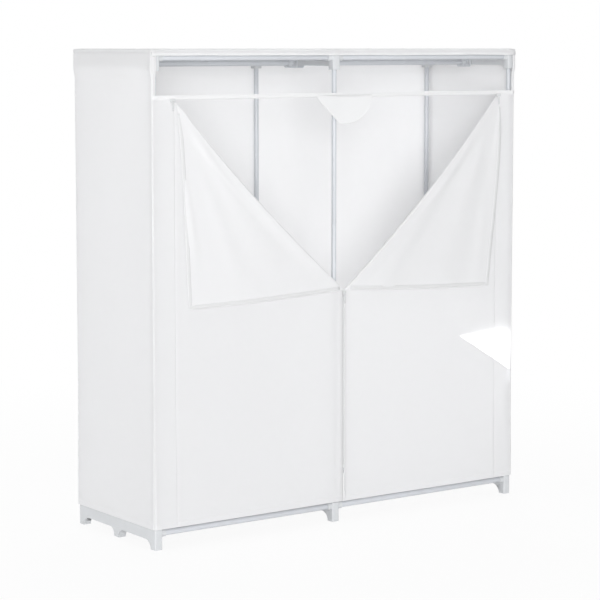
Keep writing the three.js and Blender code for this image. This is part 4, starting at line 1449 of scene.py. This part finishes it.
class WARDROBE_OT_zips(bpy.types.Operator):
    """Makes the tapes and coils of the header, the doors' lower edges and the folded flaps"""
    bl_idname = "wardrobe.zips"
    bl_label = "Zips"

    def execute(self, context):
        self.pitch = context.scene.wardrobe_zip.tooth_pitch
        self.tape = context.scene.wardrobe_zip.tape_width
        self.tooth = model_tooth()
        self.add_header()
        for side in ("left", "right"):
            self.add_door(side)
            self.add_flap(side)
        drop(self.tooth)
        return {"FINISHED"}

    def add_tape(self, name, rows, places, node, body, flat, rest):
        tape = sheet_mesh(name, rows, zip_fabric(), TAPE_THICKNESS)
        teeth = teeth_mesh(name + "_teeth", self.tooth, places)
        teeth.data.materials.append(zip_fabric())
        assign(tape, body, node)
        assign(teeth, body, node)

    def tooth_places(self, low, high, shift):
        """Places of a straight coil's turns, the first a share of a pitch from the low end."""
        count = int((high - low) / self.pitch)
        return [low + (i + shift) * (high - low) / count for i in range(count)]

    def add_header(self):
        low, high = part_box("header_zip")
        y = high.y - HEADER_TAPE_BACK
        heights = spaced(low.z + HEADER_TAPE_LOW, high.z, TAPE_ACROSS)
        rows = grid_rows(spaced(low.x, high.x, TAPE_STEP), heights, lambda x, z: Vector((x, y, z)))
        places = [(Vector((x, CLOTH_Y, low.z + HEADER_TEETH_Z)), Vector((0, 0, -1)))
                  for x in self.tooth_places(low.x, high.x, 0.5)]
        self.add_tape("header_zip_tape", rows, places, "header_zip", "wardrobe",
                      (high.x - low.x, high.z - low.z - HEADER_TAPE_LOW), "header_strip_cloth")

    def add_door(self, side):
        sign = -1 if side == "left" else 1
        low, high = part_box(f"door_zip_{side}")
        y = CLOTH_Y + DOOR_TAPE_BACK
        near, far = DOOR_TAPE_START, max(-low.x, high.x)
        rows = grid_rows(spaced(near, far, TAPE_ACROSS), spaced(low.z, high.z, TAPE_STEP),
                         lambda x, z: Vector((sign * x, y, z)))
        if side == "right":
            rows = turned_over(rows)
        # The two coils' turns lie between each other
        heights = self.tooth_places(low.z, high.z, 0.25 if side == "left" else 0.75)
        places = [(Vector((sign * DOOR_TEETH_X, CLOTH_Y, z)), Vector((-sign, 0, 0))) for z in heights]
        self.add_tape(f"{side}_door_tape", rows, places, f"door_zip_{side}", f"{side}_door",
                      (far - near, high.z - low.z), f"{side}_door_cloth")

    def add_flap(self, side):
        """The tape along the flap's free edges, from below the top corner down and along the lower edge."""
        sign = 1 if side == "left" else -1
        path, turn = self.flap_path(door_shape(side))
        raised = cloth_settings().thickness / 2 + TAPE_CLEARANCE
        rows, edge, length = [], [], 0.0
        for number, (point, inner) in enumerate(path):
            after = path[min(number + 1, len(path) - 1)][0]
            before = path[max(number - 1, 0)][0]
            along = (after - before).normalized()
            across = Vector((-sign * along.z, 0, sign * along.x))
            if (inner - point).dot(across) < 0:
                across = -across
            across.normalize()
            if number:
                length += (point - path[number - 1][0]).length
            slope = (inner.y - point.y) / max(0.005, (inner - point).dot(across))
            # The tape narrows to its pointed top end, and a little where it turns the corner
            width = self.tape * min(0.8 if abs(number - turn) <= 1 else 1.0, 0.4 + 0.1 * number)
            row = []
            for reach in even_values(TAPE_START, width, 5):
                place = point + across * reach
                place.y = point.y + slope * reach - raised
                row.append((place, length, reach))
            rows.append(row)
            edge.append((point, across))
        if side == "left":
            rows = turned_over(rows)
        places = []
        for point in even_points([point for point, across in edge], self.pitch):
            nearest = min(edge, key=lambda entry: (entry[0] - point).length_squared)
            outward = Vector((-nearest[1].x, 0, -nearest[1].z)).normalized()
            places.append((point + outward * TAPE_START, outward))
        self.add_tape(f"{side}_flap_tape", rows, places, f"flap_zip_{side}", f"{side}_flap",
                      (length, self.tape), f"{side}_door_cloth")

    def flap_path(self, shape):
        """Points of the free edges, each with one further in, and the number of the corner's point."""
        path = []
        for share in spaced(FLAP_TOP_SKIP, 1.0, TAPE_STEP)[:-1]:
            x = -FOLD_X + share * (FOLD_X - DOOR_EDGE_X)
            path.append((shape.flap_point(x, 1.0)[0], shape.flap_point(x, 0.9)[0]))
        turn = len(path)
        for w in spaced(0.0, 1.0 - FLAP_LOW_SKIP, TAPE_STEP):
            inner_x = -DOOR_EDGE_X - 0.03
            path.append((shape.flap_point(-DOOR_EDGE_X, 1.0 - w)[0], shape.flap_point(inner_x, 1.0 - w)[0]))
        return path, turn


PLATE = 0.002
SLIDER_TAIL = 0.00525
SLIDER_CORNER = 0.0024
SLIDER_EDGE = 0.0003
BAIL_REACH = 0.0044
BAIL_RADIUS = 0.00355
BAIL_WIRE = 0.00085
BAIL_SIDES = 32
BAIL_STRETCH = 1.3
WEB_HALF = 0.00055
WEB_LENGTH = 0.007
BEHIND = 0.01
PULL_CORNER = 0.0022
PULL_EDGE = 0.00025
WINDOW_HALF = 0.002
WINDOW_HEIGHT = 0.006
WINDOW_RIM = 0.0014
WINDOW_CORNER = 0.0006
PULL_HOLE_RISE = 0.0042
PULL_HOLE_RADIUS = 0.0015
PULL_HOLE_SIDES = 24


class WARDROBE_OT_sliders(bpy.types.Operator):
    """Models the three sliders with their bails and the pulls that hang on them"""
    bl_idname = "wardrobe.sliders"
    bl_label = "Sliders and pulls"

    def execute(self, context):
        slider = self.model_slider(*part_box("centre_zip_slider"))
        pull = self.model_pull(*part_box("centre_zip_pull"), centre_of("centre_zip_slider").z)
        for name, turn in (("centre", 0), ("top_left", math.pi / 2), ("top_right", -math.pi / 2)):
            centre = centre_of(f"{name}_zip_slider")
            place = (centre.x, 0, centre.z)
            body = placed_copy(slider, f"{name}_slider_body", place, (0, turn, 0))
            hand_over(body, slider_metal(), f"{name}_slider", f"{name}_zip_slider")
            tab = placed_copy(pull, f"{name}_pull_tab", place)
            hand_over(tab, slider_metal(), f"{name}_pull", f"{name}_zip_pull")
        drop(slider)
        drop(pull)
        return {"FINISHED"}

    def plate(self, half, length, front, back):
        """One of the slider's two plates, narrower at its lower end."""
        piece = add_block("plate", (-half, front, -length / 2), (half, back, length / 2))
        make_active(piece)
        bpy.ops.object.mode_set(mode="EDIT")
        bpy.ops.mesh.select_all(action="DESELECT")
        edit = bmesh.from_edit_mesh(piece.data)
        for vertex in edit.verts:
            vertex.select_set(vertex.co.z < 0)
        edit.select_flush_mode()
        bmesh.update_edit_mesh(piece.data)
        bpy.ops.transform.resize(value=(SLIDER_TAIL / half, 1, 1))
        bpy.ops.object.mode_set(mode="OBJECT")
        return round_corners(piece, 1, SLIDER_CORNER, 4)

    def model_slider(self, low, high):
        length, half = high.z - low.z, (high.x - low.x) / 2
        front, top = low.y + BAIL_REACH, length / 2
        slider = self.plate(half, length, front, front + PLATE)
        combined(slider, "UNION", self.plate(half, length, high.y - PLATE, high.y))
        inside = front + PLATE / 2
        web = add_block("web", (-WEB_HALF, inside, top - WEB_LENGTH), (WEB_HALF, high.y - PLATE / 2, top))
        combined(slider, "UNION", web)
        bail = add_ring(BAIL_RADIUS, BAIL_WIRE, BAIL_SIDES, (0, front, 0), (0, math.pi / 2, 0), BAIL_STRETCH)
        behind = add_block("behind", (-BEHIND, inside, -BEHIND), (BEHIND, front + 2 * BEHIND, BEHIND))
        combined(bail, "DIFFERENCE", behind)
        combined(slider, "UNION", bail)
        return softened(slider, SLIDER_EDGE)

    def model_pull(self, low, high, centre_z):
        top, bottom = high.z - centre_z, low.z - centre_z
        front, back = low.y - WALL, high.y + WALL
        pull = add_block("pull", (low.x, low.y, bottom), (high.x, high.y, top))
        round_corners(pull, 1, PULL_CORNER)
        window_top = top - WINDOW_RIM
        window = add_block("window", (-WINDOW_HALF, front, window_top - WINDOW_HEIGHT),
                           (WINDOW_HALF, back, window_top))
        round_corners(window, 1, WINDOW_CORNER, 3)
        combined(pull, "DIFFERENCE", window)
        hole_z = bottom + PULL_HOLE_RISE
        hole = add_round("hole", (0, front, hole_z), (0, back, hole_z), PULL_HOLE_RADIUS, PULL_HOLE_SIDES)
        combined(pull, "DIFFERENCE", hole)
        return softened(pull, PULL_EDGE)


# Stage

# Each light: its place, the point that it faces, its size and height, and its share of the key's power
LIGHTS = {
    "key_light": ((-4.6, -7.8, 1.5), (0, 0, 0.8), 4.0, None, 1.0),
    "side_light": ((-5.2, 0.2, 1.6), (0, 0, 0.8), 3.0, None, 0.08),
    "back_light": ((4.0, 5.0, 2.2), (0, 0, 0.8), 3.0, None, 0.37),
    "inner_light": ((0.3, -0.2, 0.45), (0.42, 1, 0.65), 0.9, 0.3, 0.0027),
    "top_light": ((0, 0.3, 4.6), (0, 0, 0), 3.4, None, 0.05),
}
CAMERA_PLACE = (-4.22773, -5.88004, 1.61621)
CAMERA_DIP = 0.10359
CAMERA_TURN = -0.62255
CAMERA_SHIFT = -0.06
CAMERA_REACH = 100
SENSOR_WIDTH = 36
SOFT_SKY = (0.985, 0.992, 1.0, 1)
FLOOR_SIZE = 30
FLOOR_NEAR = 1.1
FLOOR_FADE = 2.0


class WARDROBE_OT_stage(bpy.types.Operator):
    """Adds the plain floor, the white surround, the lights and the camera"""
    bl_idname = "wardrobe.stage"
    bl_label = "Stage"

    def execute(self, context):
        scene = context.scene
        stage = scene.wardrobe_stage
        scene.view_settings.view_transform = "Standard"
        self.add_world(scene, stage)
        self.add_floor(stage)
        for name, (place, aim, size, height, share) in LIGHTS.items():
            self.add_light(name, place, aim, size, height, stage.key_power * share)
        self.add_camera(scene, stage)
        return {"FINISHED"}

    def add_camera(self, scene, stage):
        data = bpy.data.cameras.new("camera")
        data.lens = stage.lens
        data.sensor_width = SENSOR_WIDTH
        data.shift_y = CAMERA_SHIFT
        data.clip_end = CAMERA_REACH
        scene.camera = linked("camera", data)
        scene.camera.location = CAMERA_PLACE
        scene.camera.rotation_euler = (math.pi / 2 - CAMERA_DIP, 0, CAMERA_TURN)

    def add_world(self, scene, stage):
        """Lights softly from all round, and is seen as plain white."""
        world = bpy.data.worlds.new("surround")
        world.use_nodes = True
        tree = world.node_tree
        tree.nodes.clear()
        soft = add_node(tree, "ShaderNodeBackground", -200, 100)
        set_inputs(soft, {"Color": SOFT_SKY, "Strength": stage.ambient})
        white = add_node(tree, "ShaderNodeBackground", -200, -100)
        white.inputs["Color"].default_value = (1, 1, 1, 1)
        out = add_node(tree, "ShaderNodeOutputWorld", 300)
        tree.links.new(mixed_shaders(tree, self.seen_ray(tree), soft, white, 100), out.inputs[0])
        scene.world = world

    def seen_ray(self, tree):
        """1 for a ray from the camera, straight or through a mirror or clear piece."""
        path = add_node(tree, "ShaderNodeLightPath", -800)
        mirror = maths(tree, "ADD", path.outputs["Is Camera Ray"], path.outputs["Is Glossy Ray"], -600)
        return maths(tree, "ADD", mirror, path.outputs["Is Transmission Ray"], -400, clamp=True)

    def add_floor(self, stage):
        """A matt floor that takes shadows and is seen as almost plain white, fully so further out."""
        clear_selection()
        bpy.ops.mesh.primitive_plane_add(size=FLOOR_SIZE, location=(0, 0, 0))
        floor = bpy.context.object
        floor.name = "floor"
        material, tree, matt = started_material("floor")
        set_inputs(matt, {
            "Base Color": (*stage.floor_colour, 1), "Roughness": 1, "Specular IOR Level": 0})
        white = add_node(tree, "ShaderNodeEmission", 0, -200)
        place = add_node(tree, "ShaderNodeTexCoord", -1000, 500)
        length = add_node(tree, "ShaderNodeVectorMath", -800, 500, operation="LENGTH")
        tree.links.new(place.outputs["Object"], length.inputs[0])
        far = maths(tree, "SUBTRACT", length.outputs["Value"], FLOOR_NEAR, -600, 500)
        fade = maths(tree, "MULTIPLY", far, 1 / FLOOR_FADE, -450, 500, clamp=True)
        added = maths(tree, "MULTIPLY", fade, 1 - stage.floor_whiteness, -300, 500)
        whiteness = maths(tree, "ADD", added, stage.floor_whiteness, -200, 400)
        share = maths(tree, "MULTIPLY", self.seen_ray(tree), whiteness, -50, 200)
        surface = mixed_shaders(tree, share, matt, white, 200)
        tree.links.new(surface, tree.nodes["Material Output"].inputs["Surface"])
        floor.data.materials.append(material)

    def add_light(self, name, place, aim, size, height, power):
        data = bpy.data.lights.new(name, "AREA")
        data.shape = "RECTANGLE" if height else "DISK"
        data.size = size
        if height:
            data.size_y = height
        data.energy = power
        light = linked(name, data)
        light.visible_camera = False
        light.location = place
        light.rotation_mode = "QUATERNION"
        light.rotation_quaternion = (Vector(aim) - Vector(place)).to_track_quat("-Z", "Y")


STEPS = (
    WARDROBE_OT_stage, WARDROBE_OT_base_frames, WARDROBE_OT_top_frames, WARDROBE_OT_tubes,
    WARDROBE_OT_rod_holders, WARDROBE_OT_roof, WARDROBE_OT_walls, WARDROBE_OT_front_borders,
    WARDROBE_OT_header, WARDROBE_OT_doors, WARDROBE_OT_zips, WARDROBE_OT_sliders,
)
SETTINGS = {
    "wardrobe_cloth": ClothSettings, "wardrobe_flap": FlapSettings, "wardrobe_frame": FrameSettings,
    "wardrobe_zip": ZipSettings, "wardrobe_stage": StageSettings,
}


class WARDROBE_PT_panel(bpy.types.Panel):
    """Sizes, colours and steps of the fabric wardrobe"""
    bl_idname = "WARDROBE_PT_panel"
    bl_label = "Fabric wardrobe"
    bl_space_type = "VIEW_3D"
    bl_region_type = "UI"
    bl_category = "Wardrobe"

    def draw(self, context):
        for attribute, group in SETTINGS.items():
            box = self.layout.box()
            for key in group.__annotations__:
                box.prop(getattr(context.scene, attribute), key)
        for step in STEPS:
            self.layout.operator(step.bl_idname)


CLASSES = (*SETTINGS.values(), *STEPS, WARDROBE_PT_panel)


def register():
    for cls in CLASSES:
        bpy.utils.register_class(cls)
    for attribute, group in SETTINGS.items():
        setattr(bpy.types.Scene, attribute, bpy.props.PointerProperty(type=group))


def unregister():
    for attribute in SETTINGS:
        delattr(bpy.types.Scene, attribute)
    for cls in reversed(CLASSES):
        bpy.utils.unregister_class(cls)


def main():
    register()
    for step in STEPS:
        group, name = step.bl_idname.split(".")
        getattr(getattr(bpy.ops, group), name)()


if __name__ == "__main__":
    main()
